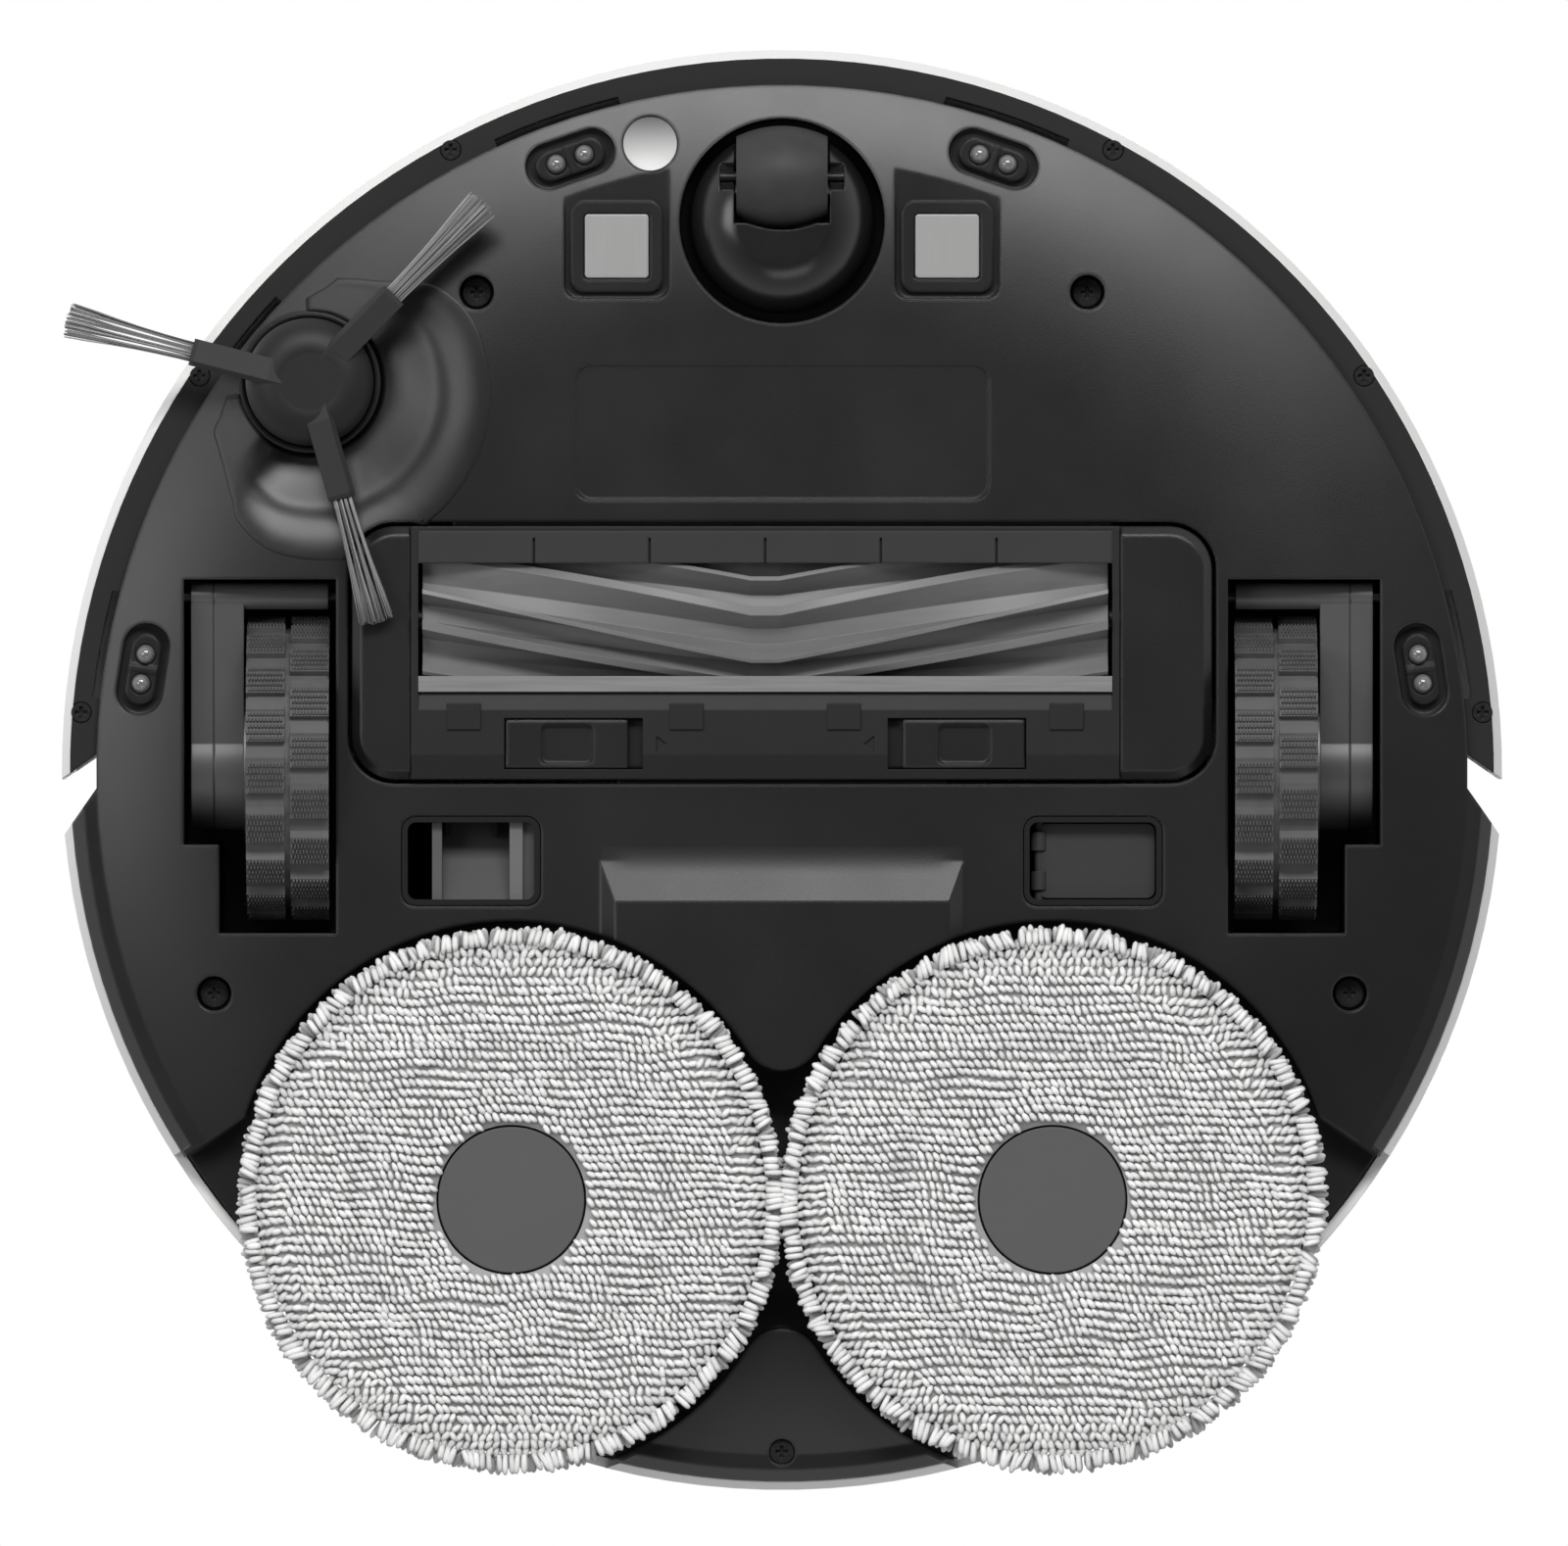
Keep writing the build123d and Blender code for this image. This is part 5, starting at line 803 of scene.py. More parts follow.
def make_mop_pad(side):
    """One yarn pad: backing, face loops and fringe in one mesh."""
    node = side + "_mop_pad"
    mops = settings("mops")
    chance = random.Random(PAD_SEED + len(side))
    low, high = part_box(node)
    centre = middle(node)
    reach = (high.x - low.x) / 2
    hole = span_disc(side) / 2 + HOLE_GAP
    pile = Pile()
    backing = pad_backing(low.z, high.z, reach - BACKING_SHARE * mops.fringe_length, hole)
    pile.add(*backing, tone=BACKING_PAINTED_SHADE)
    add_face_loops(pile, low.z, reach, hole, mops, chance)
    add_fringe(pile, low.z, high.z, reach, mops, chance)
    pile.points = [Vector((p.x + centre.x, p.y + centre.y, max(p.z, low.z))) for p in pile.points]
    piece = own(pile.build(side + "_yarn_pad", "mop_yarn"), side + "_mop", "mop_yarn", node)


def span_disc(side):
    """Diameter of the grey disc in the middle of a mop, read from its plate's lowest ring."""
    mesh = NODES[side + "_mop_plate"].data
    low = min(vertex.co.z for vertex in mesh.vertices)
    across = [vertex.co.x for vertex in mesh.vertices if vertex.co.z < low + DISC_BAND]
    return max(across) - min(across)


# Tyres

TYRE_SIDES = 96
CARCASS_SUNK = 2.4 * MM
CARCASS_BEVEL = 0.5 * MM
HUB_SHARE = 0.85
ROW_GAP = 1.3 * MM
LUG_SHARE = 0.94
LUG_DEPTH = 3.2 * MM
BAND_SHARE = 0.36
# The band's two slopes, the steep one first: start and end as shares of it, and falls in millimetres
BAND_SLOPES = ((0.0, 0.26, 0.0, 1.6), (0.26, 1.0, 1.6, 1.85))
KNURL_HEIGHT = 0.6 * MM
KNURL_FOOT = 0.1 * MM
KNURL_INSET = 0.16
# A bump's start and end in its row, and its start and width in its column
KNURL_SPAN = (0.14, 0.86)
KNURL_START = 0.17
KNURL_WIDTH = 0.66


def on_wheel(x, angle, radius):
    """A point on the wheel, with the axle along X."""
    return Vector((x, radius * math.sin(angle), -radius * math.cos(angle)))


def add_patch(pile, x0, x1, a0, a1, low, high, inset=0.0, ramp=0.0):
    """A raised block on the tread, with sloping sides and an optional fall towards its far end."""
    da, dx = inset * (a1 - a0), inset * (x1 - x0)
    base = [on_wheel(x, a, low) for x, a in ((x0, a0), (x1, a0), (x1, a1), (x0, a1))]
    corners = ((x0 + dx, a0 + da), (x1 - dx, a0 + da), (x1 - dx, a1 - da), (x0 + dx, a1 - da))
    tops = [on_wheel(x, a, high - (ramp if index > 1 else 0)) for index, (x, a) in enumerate(corners)]
    faces = [(3, 2, 1, 0), (4, 5, 6, 7), (0, 1, 5, 4), (1, 2, 6, 5), (2, 3, 7, 6), (3, 0, 4, 7)]
    pile.add(base + tops, faces)


def add_lug(pile, x0, x1, start, length, radius, tyres):
    """One lug: a knurled field, and a smooth band that falls away towards the next lug."""
    top = radius - KNURL_HEIGHT
    field = length * (1 - BAND_SHARE)
    add_patch(pile, x0, x1, start, start + field, top - LUG_DEPTH, top)
    band = length * BAND_SHARE
    for first, last, high, low in BAND_SLOPES:
        a0, a1 = start + field + band * first, start + field + band * last
        add_patch(pile, x0, x1, a0, a1, top - LUG_DEPTH, top - high * MM, ramp=(low - high) * MM)
    rows, columns = tyres.knurl_rows, tyres.knurl_columns
    cell = (x1 - x0) / (columns + 0.5)
    for row in range(rows):
        a0, a1 = (start + field * (row + share) / rows for share in KNURL_SPAN)
        for column in range(columns):
            u0 = x0 + cell * (column + 0.5 * (row % 2) + KNURL_START)
            add_patch(pile, u0, u0 + cell * KNURL_WIDTH, a0, a1, top - KNURL_FOOT, radius, KNURL_INSET)


def make_tyre(side):
    """One tyre: carcass and two staggered rows of knurled lugs."""
    node = side + "_tyre"
    tyres = settings("tyres")
    low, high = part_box(node)
    centre = middle(node)
    radius = (high.z - low.z) / 2
    half = (high.x - low.x) / 2
    carcass, bevel, hub = radius - CARCASS_SUNK, CARCASS_BEVEL, radius * HUB_SHARE
    turned = [(carcass - bevel, -half), (carcass, -half + bevel), (carcass, half - bevel)]
    turned += [(carcass - bevel, half), (hub, half), (hub, -half)]
    pile = Pile()
    pile.add(*lathe(turned, TYRE_SIDES), Matrix.Rotation(math.pi / 2, 4, "Y"))
    pitch = math.tau / tyres.lugs
    width = half - ROW_GAP / 2
    for row, x0 in enumerate((-half, ROW_GAP / 2)):
        for index in range(tyres.lugs):
            start = (index + 0.5 * row) * pitch
            add_lug(pile, x0, x0 + width, start, pitch * LUG_SHARE, radius, tyres)
    pile.points = [point + centre for point in pile.points]
    piece = pile.build(side + "_tread", "tyre_rubber", smooth=False)
    own(piece, side + "_wheel", "tyre_rubber", node)


# Side brush tufts

TUFT_SEED = 5
TUFT_COUNT = 3
# The first tuft's tips: how near the farthest radius, and how far along X from the hub
TIP_BAND = 1.0 * MM
TIP_SIDE = 30 * MM
# Radius and height of a tuft's root and tip, its half thickness there, and how uneven its tips are
ROOT_R = 26.5 * MM
TIP_R = 61.0 * MM
ROOT_SUNK = 1.7 * MM
TIP_RISE = 1.4 * MM
ROOT_HALF = 1.2 * MM
TIP_HALF = 1.0 * MM
TIP_UNEVEN = 1.2 * MM
TIP_ROUND = 0.8 * MM
# Half width of a tuft at its root, what the fan adds and how late it adds it
FAN_ROOT = 2.35 * MM
FAN_ADDS = 1.95 * MM
FAN_LATE = 1.4
# Bunches in a tuft, their width at the root, how much narrower they get and how soon
BUNCHES = 4
BUNCH_ROOT = 0.9
BUNCH_WAIST = 0.35
BUNCH_SOON = 1.2
STRAND_STEPS = 7
STRAND_SIDES = 4
STRAND_TAPER = 0.3
# Radius and ridge height along an arm, and its cross-section, in millimetres
ARM_SECTIONS = ((4.0, 3.3), (6.0, 3.0), (10.0, 2.4), (28.4, 2.45), (29.4, 2.9))
ARM_HALF = 3.3
ARM_BACK = 6.9
ARM_CREST = 2.2
ARM_NEAR = 1.2
ARM_FAR = 0.85


def tuft_turns():
    """Directions of the three tufts about the hub, from the CAD bristles."""
    hub = joint_place("side_brush_spin")
    mesh = NODES["side_brush_bristles"].data
    tips = [(vertex.co - hub).xy for vertex in mesh.vertices]
    far = max(tip.length for tip in tips)
    first = [tip for tip in tips if tip.length > far - TIP_BAND and tip.x > TIP_SIDE]
    start = sum(math.atan2(tip.y, tip.x) for tip in first) / len(first)
    return [start + math.tau * index / TUFT_COUNT for index in range(TUFT_COUNT)]


def strand_path(bunch, spread, level, reach, root_z, tip_z):
    """One strand along X, which leaves its bunch and droops from root to tip."""
    start, stop = root_z + level * ROOT_HALF, tip_z + level * TIP_HALF
    for step in range(STRAND_STEPS):
        t = step / (STRAND_STEPS - 1)
        waist = BUNCH_WAIST * math.sin(math.pi * min(1.0, t * BUNCH_SOON))
        side = (bunch + spread * (BUNCH_ROOT - waist)) * (FAN_ROOT + FAN_ADDS * t ** FAN_LATE)
        yield Vector((ROOT_R + (reach - ROOT_R) * t, side, start + (stop - start) * t))


def add_tuft(pile, place, bristles, chance):
    """One tuft: four bunches of strands that fan out towards their tips."""
    low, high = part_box("side_brush_bristles")
    shares = [1.0 - STRAND_TAPER * step / (STRAND_STEPS - 1) for step in range(STRAND_STEPS)]
    radii = [bristles.strand_width / 2 * share for share in shares]
    for index in range(bristles.strands):
        bunch = (index % BUNCHES + 0.5) / BUNCHES * 2 - 1
        spread = sway(chance, 1) / BUNCHES
        level = sway(chance, 1)
        reach = TIP_R - chance.uniform(0, TIP_UNEVEN) - TIP_ROUND * bunch * bunch
        path = strand_path(bunch, spread, level, reach, high.z - ROOT_SUNK, low.z + TIP_RISE)
        pile.add(*tube(list(path), radii, STRAND_SIDES), place, chance.random())


def add_arm(pile, place):
    """One arm of the brush: a wedge that rises out of the hub and grips a tuft at its end."""
    points = []
    for r, ridge in ARM_SECTIONS:
        ring = [(ARM_HALF, ARM_BACK), (ARM_HALF, ridge + ARM_FAR), (-ARM_CREST, ridge)]
        ring += [(-ARM_HALF, ridge + ARM_NEAR), (-ARM_HALF, ARM_BACK)]
        points += [Vector((r, y, z)) * MM for y, z in ring]
    pile.add(points, ring_faces(len(ARM_SECTIONS), len(ring)), place)


def make_bristles():
    """Three tufts of nylon strands and the arms that grip them."""
    bristles = settings("bristles")
    chance = random.Random(TUFT_SEED)
    hub = joint_place("side_brush_spin")
    strands, arms = Pile(), Pile()
    for turn in tuft_turns():
        place = Matrix.Translation((hub.x, hub.y, 0)) @ Matrix.Rotation(turn, 4, "Z")
        add_tuft(strands, place, bristles, chance)
        add_arm(arms, place)
    piece = strands.build("brush_tufts", "bristle_nylon")
    own(piece, "side_brush", "bristle_nylon", "side_brush_bristles")
    own(arms.build("brush_arms", "brush_plastic", smooth=False), "side_brush", "dark_plastic")


# Skins over the chassis

# The underside: flat up to a radius, then an arc up towards its rim
DOME_FLAT_R = 112 * MM
DOME_ARC_R = 189.6 * MM
DOME_LOW = 10 * MM
RAY_START = -20 * MM
SKIN_DEPTH = 0.4 * MM
SKIN_CUT = 0.1 * MM


def dome_height(x, y):
    """Height of the underside, flat in the middle and curved up towards its rim."""
    past = max(0.0, math.hypot(x, y) - DOME_FLAT_R)
    return DOME_LOW + DOME_ARC_R - math.sqrt(DOME_ARC_R ** 2 - past ** 2)


def chassis_tree():
    """The chassis, ready for rays."""
    mesh = NODES["chassis"].data
    return BVHTree.FromPolygons([v.co for v in mesh.vertices], [face.vertices for face in mesh.polygons])


def underside(tree, x, y):
    """Height of the chassis above a point of the floor, or nothing where it is open."""
    hit = tree.ray_cast(Vector((x, y, RAY_START)), Vector((0, 0, 1)))[0]
    return None if hit is None else hit.z


def eased(share):
    """A share kept from 0 to 1 and eased at both ends."""
    share = min(1.0, max(0.0, share))
    return share * share * (3 - 2 * share)


def even_steps(low, high, count):
    """Places from low to high, evenly spread."""
    return [low + (high - low) * index / (count - 1) for index in range(count)]


def add_skin(pile, rows):
    """A thin closed skin through rows of points, with its back a little way inside."""
    count = len(rows[0])
    outer = [point for row in rows for point in row]
    points = outer + [point + Vector((0, 0, SKIN_DEPTH)) for point in outer]
    back = len(outer)
    faces = []
    for row in range(len(rows) - 1):
        for ring in range(count - 1):
            a = row * count + ring
            faces.append((a, a + 1, a + 1 + count, a + count))
            faces.append((a + back + count, a + 1 + back + count, a + 1 + back, a + back))
        for a in (row * count, row * count + count - 1):
            faces.append((a, a + count, a + count + back, a + back))
    for first in (0, (len(rows) - 1) * count):
        for a in range(first, first + count - 1):
            faces.append((a, a + 1, a + 1 + back, a + back))
    pile.add(points, faces)


# Dish round the side brush

DISH_IN = 17.4 * MM
DISH_OUT = 46 * MM
DISH_DEPTH = 5.0 * MM
# Reach where an opening cuts the dish off, and a reach so short that there is no dish
DISH_FULL = 42.5 * MM
DISH_SHORT = 28 * MM
# Steepness: softness at the ends, then the place, width and strength of the flatter ring
DISH_SOFT = 0.8
RING_SHARE = 0.6
RING_WIDTH = 0.07
RING_FLAT = 0.8
# Search for the dish's end: first and further steps, and what counts as flush or as open
DISH_START = 0.6 * MM
DISH_STEP = 0.25 * MM
DISH_FLUSH = 0.05 * MM
DISH_OPEN = 12 * MM
DISH_LEAST = 1.0 * MM
# Directions, rings, fine steps of the profile, and neighbours that even out the reach
DISH_TURNS = 120
DISH_RINGS = 26
DISH_FINE = 300
DISH_NEAR = 4
# Feathered edge of the skin, which ends in a hem just inside the chassis
DISH_FEATHER = 1.5 * MM
DISH_HEM = 0.6 * MM
DISH_PROUD = 0.03 * MM


def dish_slope(share):
    """Steepness of the dish at a share of the way out: soft at both ends, with one flatter ring."""
    ring = RING_FLAT * math.exp(-((share - RING_SHARE) / RING_WIDTH) ** 2)
    return (share * (1 - share)) ** DISH_SOFT * (1 - ring)


def dish_left(share):
    """Share of the depth that is left at a share of the way out."""
    steps = [(index + 0.5) / DISH_FINE for index in range(DISH_FINE)]
    slopes = [dish_slope(step) for step in steps]
    return sum(slope for step, slope in zip(steps, slopes) if step > share) / sum(slopes)


def beside(hub, radius, turn):
    """Place on the floor at a radius and direction from the hub."""
    return hub.x + radius * math.cos(turn), hub.y + radius * math.sin(turn)


def dish_reach(tree, hub, turn):
    """How far the chassis's dish goes in one direction, and whether it ends at an opening."""
    radius = DISH_IN + DISH_START
    while radius < DISH_OUT:
        x, y = beside(hub, radius, turn)
        height = underside(tree, x, y)
        if height is None or height > dome_height(x, y) + DISH_OPEN:
            return radius - DISH_STEP, True
        if height < dome_height(x, y) + DISH_FLUSH:
            break
        radius += DISH_STEP
    return radius, False


def dish_edges(tree, hub):
    """Direction, evened reach, end of the skin and width of its hem for every direction round the hub."""
    turns = [math.tau * index / DISH_TURNS for index in range(DISH_TURNS)]
    found = [dish_reach(tree, hub, turn) for turn in turns]
    full = [DISH_FULL if opening else limit for limit, opening in found]
    window = range(-DISH_NEAR, DISH_NEAR + 1)
    for index, turn in enumerate(turns):
        limit, opening = found[index]
        near = sum(full[(index + step) % DISH_TURNS] for step in window) / len(window)
        reach = max(full[index], near)
        if opening:
            yield turn, reach, limit, SKIN_CUT
        else:
            yield turn, reach, reach + DISH_FEATHER, DISH_HEM


def dish_rows(tree, hub):
    """Rows of points of the dish's skin, one for each direction that has a dish."""
    for turn, reach, end, hem in dish_edges(tree, hub):
        if reach < DISH_IN + DISH_LEAST:
            continue
        depth = DISH_DEPTH * eased((reach - DISH_SHORT) / (DISH_FULL - DISH_SHORT))
        row = []
        for radius in (*even_steps(DISH_IN, end - hem, DISH_RINGS - 1), end, end + hem):
            x, y = beside(hub, radius, turn)
            share = min(1.0, (radius - DISH_IN) / (reach - DISH_IN))
            height = dome_height(x, y) + depth * dish_left(share)
            solid = underside(tree, x, y)
            if solid is not None:
                height = solid + DISH_PROUD if radius > end else min(height, solid - DISH_PROUD)
            row.append(Vector((x, y, height)))
        yield row


def make_dish():
    """Soft skin over the dish round the side brush."""
    pile = Pile()
    add_skin(pile, list(dish_rows(chassis_tree(), joint_place("side_brush_spin"))))
    own(pile.build("brush_dish", "dark_plastic"), "chassis", "dark_plastic")


# Slope of the raised panel between the mops

# The slope's half width and place, where it starts and at the panel's flat, and its fall
PANEL_X = 44.0 * MM
PANEL_FLAT_X = 40.5 * MM
PANEL_Y = -22.0 * MM
PANEL_FLAT_Y = -31.7 * MM
PANEL_DROP = 3.0 * MM
# Length of the eased start, and width over which it fades at both sides
PANEL_EASE = 3.4 * MM
PANEL_FADE = 7.0 * MM
PANEL_PROUD = 0.015 * MM
PANEL_SHARP = math.radians(60)
PANEL_ROWS = 32
PANEL_COLUMNS = 48


def panel_height(y):
    """Height of the panel's slope, eased into the underside by an arc."""
    rise = PANEL_DROP / (PANEL_Y - PANEL_FLAT_Y)
    tilt = math.atan(rise)
    radius = PANEL_EASE / math.tan(tilt / 2)
    along = PANEL_Y + PANEL_EASE - y
    if along < radius * math.sin(tilt):
        return DOME_LOW - radius + math.sqrt(radius ** 2 - along ** 2)
    return DOME_LOW - (PANEL_Y - y) * rise


def panel_row(tree, y):
    """Points of the slope's skin across the robot."""
    down = max(0.0, PANEL_Y - y) / (PANEL_Y - PANEL_FLAT_Y)
    half = PANEL_X - (PANEL_X - PANEL_FLAT_X) * down - SKIN_CUT
    row = []
    for x in even_steps(-half, half, PANEL_COLUMNS):
        solid = underside(tree, x, y)
        lower = max(0.0, solid - panel_height(y)) * eased((half - abs(x)) / PANEL_FADE)
        row.append(Vector((x, y, solid - PANEL_PROUD - lower)))
    return row


def make_panel():
    """Soft skin over the slope of the raised panel."""
    tree = chassis_tree()
    places = even_steps(PANEL_FLAT_Y + SKIN_CUT, PANEL_Y + PANEL_EASE, PANEL_ROWS)
    pile = Pile()
    add_skin(pile, [panel_row(tree, y) for y in places])
    piece = pile.build("panel_slope", "panel_plastic")
    piece.data.set_sharp_from_angle(angle=PANEL_SHARP)
    own(piece, "chassis", "dark_plastic")


# Dust ports

# Three ribs and a ramp in the outlet: from and to across the robot, height of the lower face at the rear
# and at the front and thickness, all in millimetres, and tone, set to how bright each piece looks, partly the
# plastic's own and partly painted light and shade
OUTLET_SLABS = (
    (60.0, 62.9, 14.0, 14.0, 8.0, 0.25),
    (62.9, 66.1, 12.4, 12.4, 8.0, 0.72),
    (82.5, 84.9, 13.0, 13.0, 8.0, 0.4),
    (66.0, 82.6, 15.5, 24.0, 1.2, 0.1),
)
SLAB_FACES = ((0, 1, 2, 3), (7, 6, 5, 4), (0, 4, 5, 1), (1, 5, 6, 2), (2, 6, 7, 3), (3, 7, 4, 0))
PORT_WALL = 1.2 * MM
PIN_R = 0.5 * MM
PIN_SIDES = 12


def add_slab(pile, rear, front, x0, x1, z_rear, z_front, deep, tone):
    """A slab across a port, with its lower face sloping from rear to front."""
    ends = ((x0, rear, z_rear), (x1, rear, z_rear), (x1, front, z_front), (x0, front, z_front))
    points = [Vector((x * MM, y, (z + up) * MM)) for up in (0, deep) for x, y, z in ends]
    pile.add(points, SLAB_FACES, tone=tone)


def make_port_lining():
    """Ribs and ramp inside the dust outlet, and the hinge pin of the inlet flap."""
    low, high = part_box("dust_outlet")
    lining = Pile()
    for slab in OUTLET_SLABS:
        add_slab(lining, low.y + PORT_WALL, high.y - PORT_WALL, *slab)
    own(lining.build("outlet_lining", "port_plastic", smooth=False), "chassis", "dark_plastic")
    hinge = joint_place("inlet_flap_swing")
    low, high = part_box("dust_inlet")
    path = [Vector((hinge.x, y, hinge.z)) for y in (low.y + PORT_WALL, hinge.y, high.y - PORT_WALL)]
    pin = Pile()
    pin.add(*tube(path, [PIN_R] * len(path), PIN_SIDES))
    own(pin.build("flap_pin", "steel"), "chassis", "steel")


# Stage

# Each lamp's name, place, width, height and power
LAMPS = (
    ("front_soft", (-0.14, 1.72, -2.4), 2.3, 0.8, 74),
    ("side_soft", (1.7, 0.35, -2.2), 1.0, 1.0, 16),
    ("top_soft", (-0.8, -0.9, 2.4), 1.8, 1.8, 44),
    ("rear_soft", (-0.3, -1.7, -2.4), 1.6, 0.8, 6),
    ("top_side_soft", (2.2, 0.6, 1.2), 1.2, 1.2, 10),
)
CAMERA_X = -0.5 * MM
CAMERA_Y = -0.7 * MM
CAMERA_END = 100
FLOOR_REACH = 6.0
FLOOR_DROP = 0.3 * MM
# Strength of the even light, and of the backdrop in reflections, which falls off downwards
EVEN_LIGHT = 0.30
MIRROR_RISE = 1.1
MIRROR_LEVEL = 1.05
MIRROR_LEAST = 0.05


def add_lamp(name, place, width, height, power):
    """A soft lamp aimed at the robot."""
    lamp = bpy.data.lights.new(name, "AREA")
    lamp.shape = "RECTANGLE"
    lamp.size = width
    lamp.size_y = height
    lamp.energy = power
    holder = bpy.data.objects.new(name, lamp)
    holder.location = place
    holder.rotation_euler = (-Vector(place)).to_track_quat("-Z", "Y").to_euler()
    bpy.context.scene.collection.objects.link(holder)


def add_camera(stage):
    """Long lens straight below the robot, with the front at the top of the picture."""
    camera = bpy.data.cameras.new("below")
    holder = bpy.data.objects.new("below", camera)
    camera.lens = camera.sensor_width * (stage.distance + DOME_LOW) / stage.frame_width
    camera.clip_end = CAMERA_END
    holder.location = (CAMERA_X, CAMERA_Y, -stage.distance)
    holder.rotation_euler = (0, math.pi, 0)
    bpy.context.scene.collection.objects.link(holder)
    bpy.context.scene.camera = holder


def floor_finish(stage):
    """Pale floor that only shows from above."""
    finish = Finish("studio_floor")
    cloud = finish.place.noise(3, 3)
    finish.put(Base_Color=cloud.between(tint(stage.floor, 0.985), tint(stage.floor, 1.01)), Roughness=0.9)
    tree = finish.tree
    back = finish.place.node("ShaderNodeNewGeometry", None, None, "Backfacing")
    clear = finish.place.node("ShaderNodeBsdfTransparent")
    surface = Wire(tree, finish.shader.outputs[0])
    mixed = finish.place.node("ShaderNodeMixShader", None, {0: back, 1: surface, 2: clear})
    tree.links.new(mixed.socket, tree.nodes["Material Output"].inputs["Surface"])
    return finish.material


def add_floor(stage):
    """A wide floor under the wheels, which neither shades nor lights the robot."""
    reach = FLOOR_REACH
    corners = [(-reach, -reach, 0), (reach, -reach, 0), (reach, reach, 0), (-reach, reach, 0)]
    mesh = bpy.data.meshes.new("floor")
    mesh.from_pydata(corners, [], [(0, 1, 2, 3)])
    floor = bpy.data.objects.new("floor", mesh)
    floor.location.z = -FLOOR_DROP
    bpy.context.scene.collection.objects.link(floor)
    mesh.materials.append(floor_finish(stage))
    floor.visible_shadow = False
    floor.visible_diffuse = False
    floor.visible_glossy = False
    floor.visible_transmission = False


def add_world():
    """White backdrop for the camera and for reflections, and a weaker even light."""
    world = bpy.data.worlds.new("studio")
    bpy.context.scene.world = world
    world.use_nodes = True
    tree = world.node_tree
    shader = tree.nodes["Background"]
    rays = tree.nodes.new("ShaderNodeLightPath")
    camera = Wire(tree, rays.outputs["Is Camera Ray"])
    glossy = Wire(tree, rays.outputs["Is Glossy Ray"])
    through = Wire(tree, rays.outputs["Is Transmission Ray"])
    ray = Wire(tree, tree.nodes.new("ShaderNodeTexCoord").outputs["Generated"])
    mirrored = (ray.along(Z_AXIS) * MIRROR_RISE + MIRROR_LEVEL).clip(MIRROR_LEAST, 1.0)
    seen = camera.maths("MAXIMUM", camera.maths("MAXIMUM", camera, through), glossy * mirrored)
    strength = camera.maths("MAXIMUM", seen, EVEN_LIGHT * (1.0 - glossy))
    shader.inputs["Color"].default_value = (1, 1, 1, 1)
    tree.links.new(strength.socket, shader.inputs["Strength"])


# Operators

class ROBOT_OT_finishes(bpy.types.Operator):
    """Give every carried-over piece its finish"""
    bl_idname = "robot.finishes"
    bl_label = "Finishes"

    def execute(self, context):
        for name, node in NODES.items():
            node.data.materials.clear()
            maker = OWN_FINISH.get(name)
            node.data.materials.append(finish_for(maker.__name__ if maker else slot_of(name)))
        return {"FINISHED"}


class ROBOT_OT_mop_pads(bpy.types.Operator):
    """Make the two yarn mop pads"""
    bl_idname = "robot.mop_pads"
    bl_label = "Mop pads"

    def execute(self, context):
        for side in SIDES:
            make_mop_pad(side)
        return {"FINISHED"}


class ROBOT_OT_tyres(bpy.types.Operator):
    """Make the two knurled tyres"""
    bl_idname = "robot.tyres"
    bl_label = "Tyres"

    def execute(self, context):
        for side in SIDES:
            make_tyre(side)
        return {"FINISHED"}


class ROBOT_OT_bristles(bpy.types.Operator):
    """Make the side brush's tufts and arms"""
    bl_idname = "robot.bristles"
    bl_label = "Side brush tufts"

    def execute(self, context):
        make_bristles()
        return {"FINISHED"}


class ROBOT_OT_dish(bpy.types.Operator):
    """Make the soft dish round the side brush"""
    bl_idname = "robot.dish"
    bl_label = "Side brush dish"

    def execute(self, context):
        make_dish()
        return {"FINISHED"}


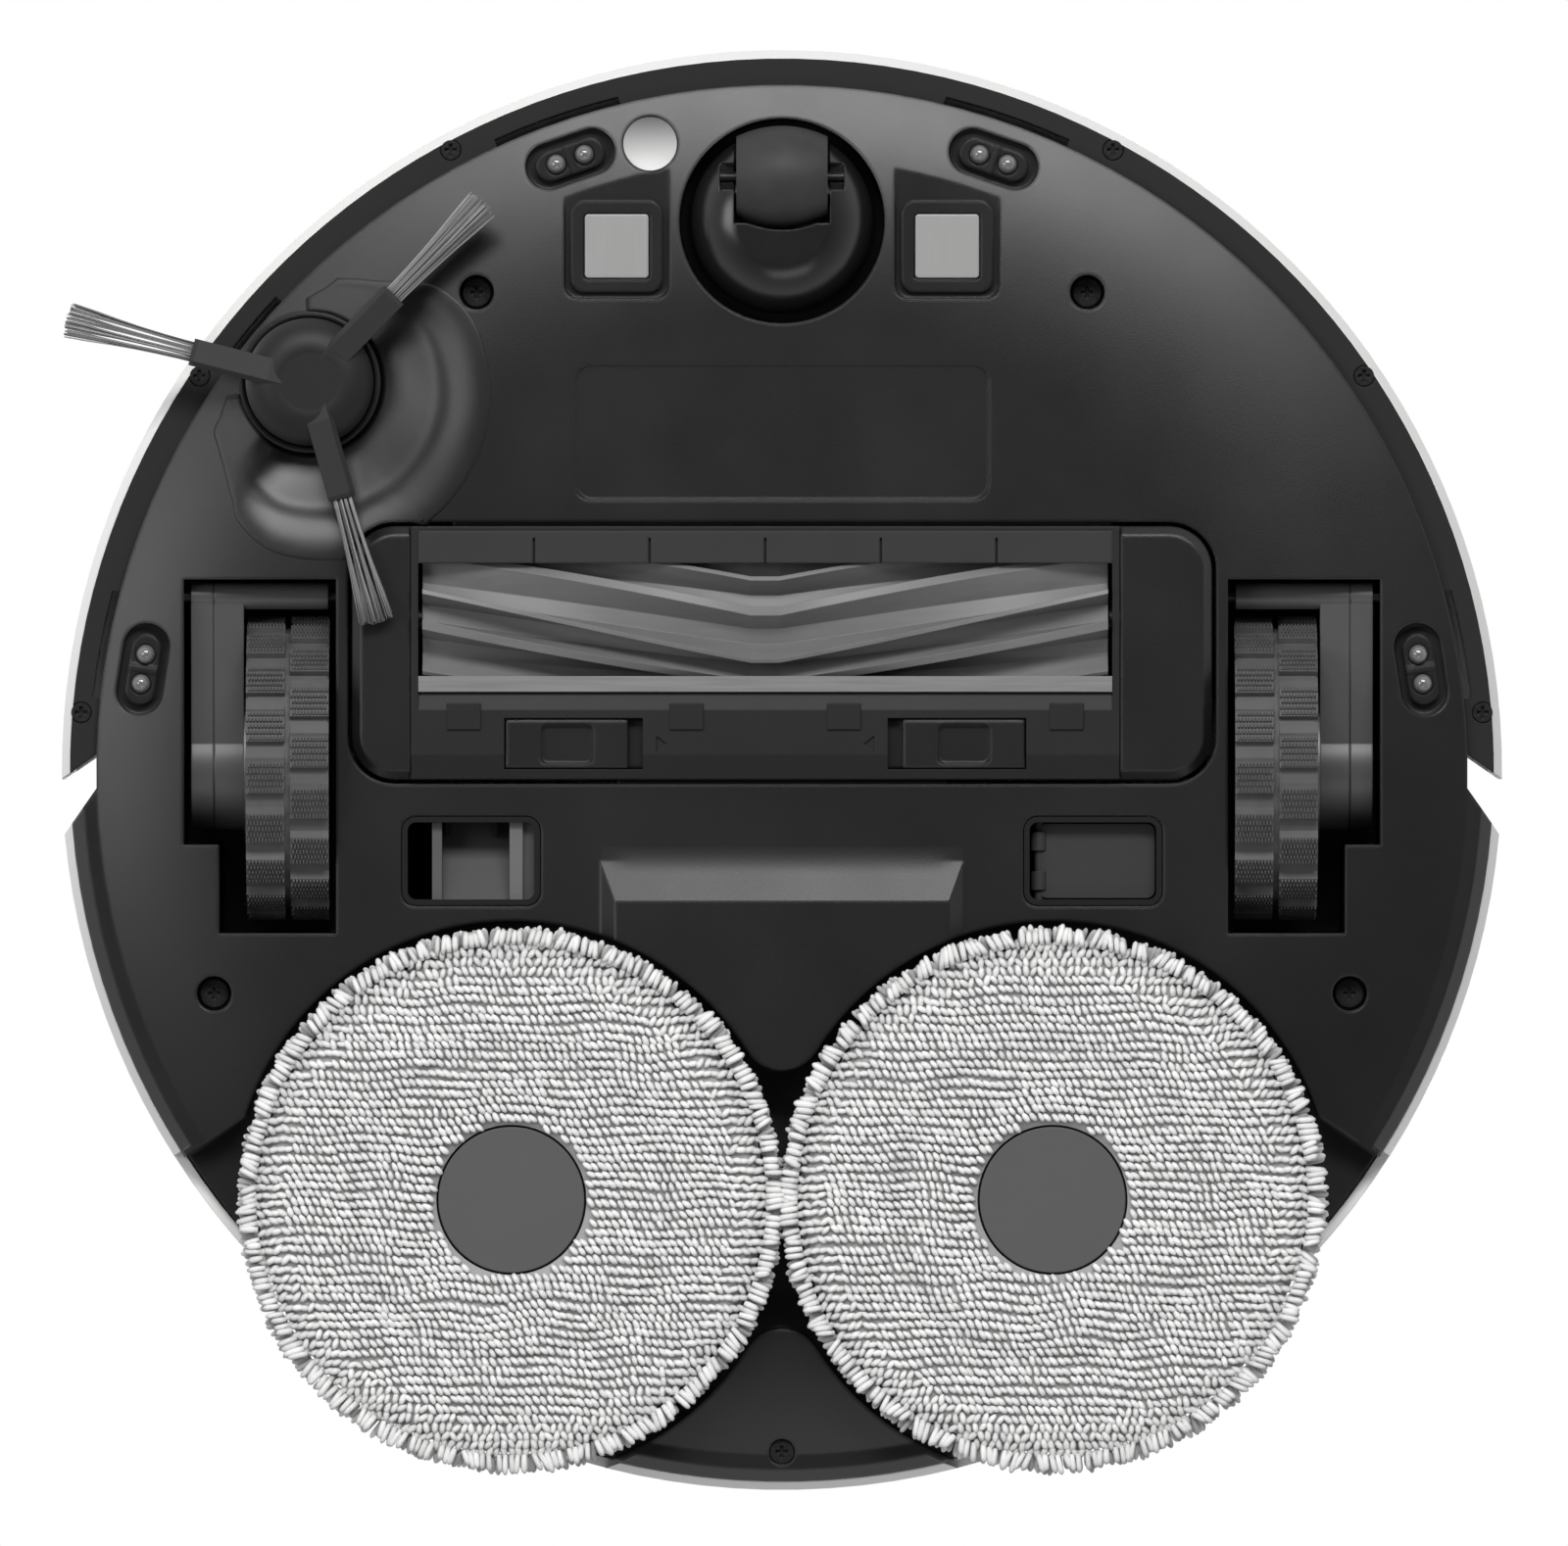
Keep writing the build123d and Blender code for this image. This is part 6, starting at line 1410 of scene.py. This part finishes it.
class ROBOT_OT_panel(bpy.types.Operator):
    """Make the soft slope of the raised panel"""
    bl_idname = "robot.panel"
    bl_label = "Panel slope"

    def execute(self, context):
        make_panel()
        return {"FINISHED"}


class ROBOT_OT_ports(bpy.types.Operator):
    """Make the linings of the dust ports"""
    bl_idname = "robot.ports"
    bl_label = "Dust ports"

    def execute(self, context):
        make_port_lining()
        return {"FINISHED"}


class ROBOT_OT_stage(bpy.types.Operator):
    """Set up the camera, lamps, floor and world"""
    bl_idname = "robot.stage"
    bl_label = "Stage"

    def execute(self, context):
        stage = settings("stage")
        bpy.context.scene.view_settings.view_transform = "Standard"
        add_camera(stage)
        add_floor(stage)
        add_world()
        for lamp in LAMPS:
            add_lamp(*lamp)
        return {"FINISHED"}


class ROBOT_PT_build(bpy.types.Panel):
    """Steps of the build, in order"""
    bl_label = "Robot vacuum"
    bl_space_type = "VIEW_3D"
    bl_region_type = "UI"
    bl_category = "Robot"

    def draw(self, context):
        for step in STEPS:
            self.layout.operator(step.bl_idname)


STEPS = (
    ROBOT_OT_finishes, ROBOT_OT_mop_pads, ROBOT_OT_tyres, ROBOT_OT_bristles, ROBOT_OT_dish,
    ROBOT_OT_panel, ROBOT_OT_ports, ROBOT_OT_stage,
)
GROUPS = {
    "mops": MopSettings, "tyres": TyreSettings, "bristles": BristleSettings, "shell": ShellSettings,
    "stage": StageSettings,
}
CLASSES = (*GROUPS.values(), *STEPS, ROBOT_PT_build)


def register():
    """Add the settings, steps and panel to Blender."""
    for kind in CLASSES:
        bpy.utils.register_class(kind)
    for name, group in GROUPS.items():
        setattr(bpy.types.Scene, "robot_" + name, bpy.props.PointerProperty(type=group))


def unregister():
    """Take them out again."""
    for name in GROUPS:
        delattr(bpy.types.Scene, "robot_" + name)
    for kind in reversed(CLASSES):
        bpy.utils.unregister_class(kind)


def main():
    """Run every step."""
    register()
    for step in STEPS:
        family, name = step.bl_idname.split(".")
        getattr(getattr(bpy.ops, family), name)()


if __name__ == "__main__":
    main()
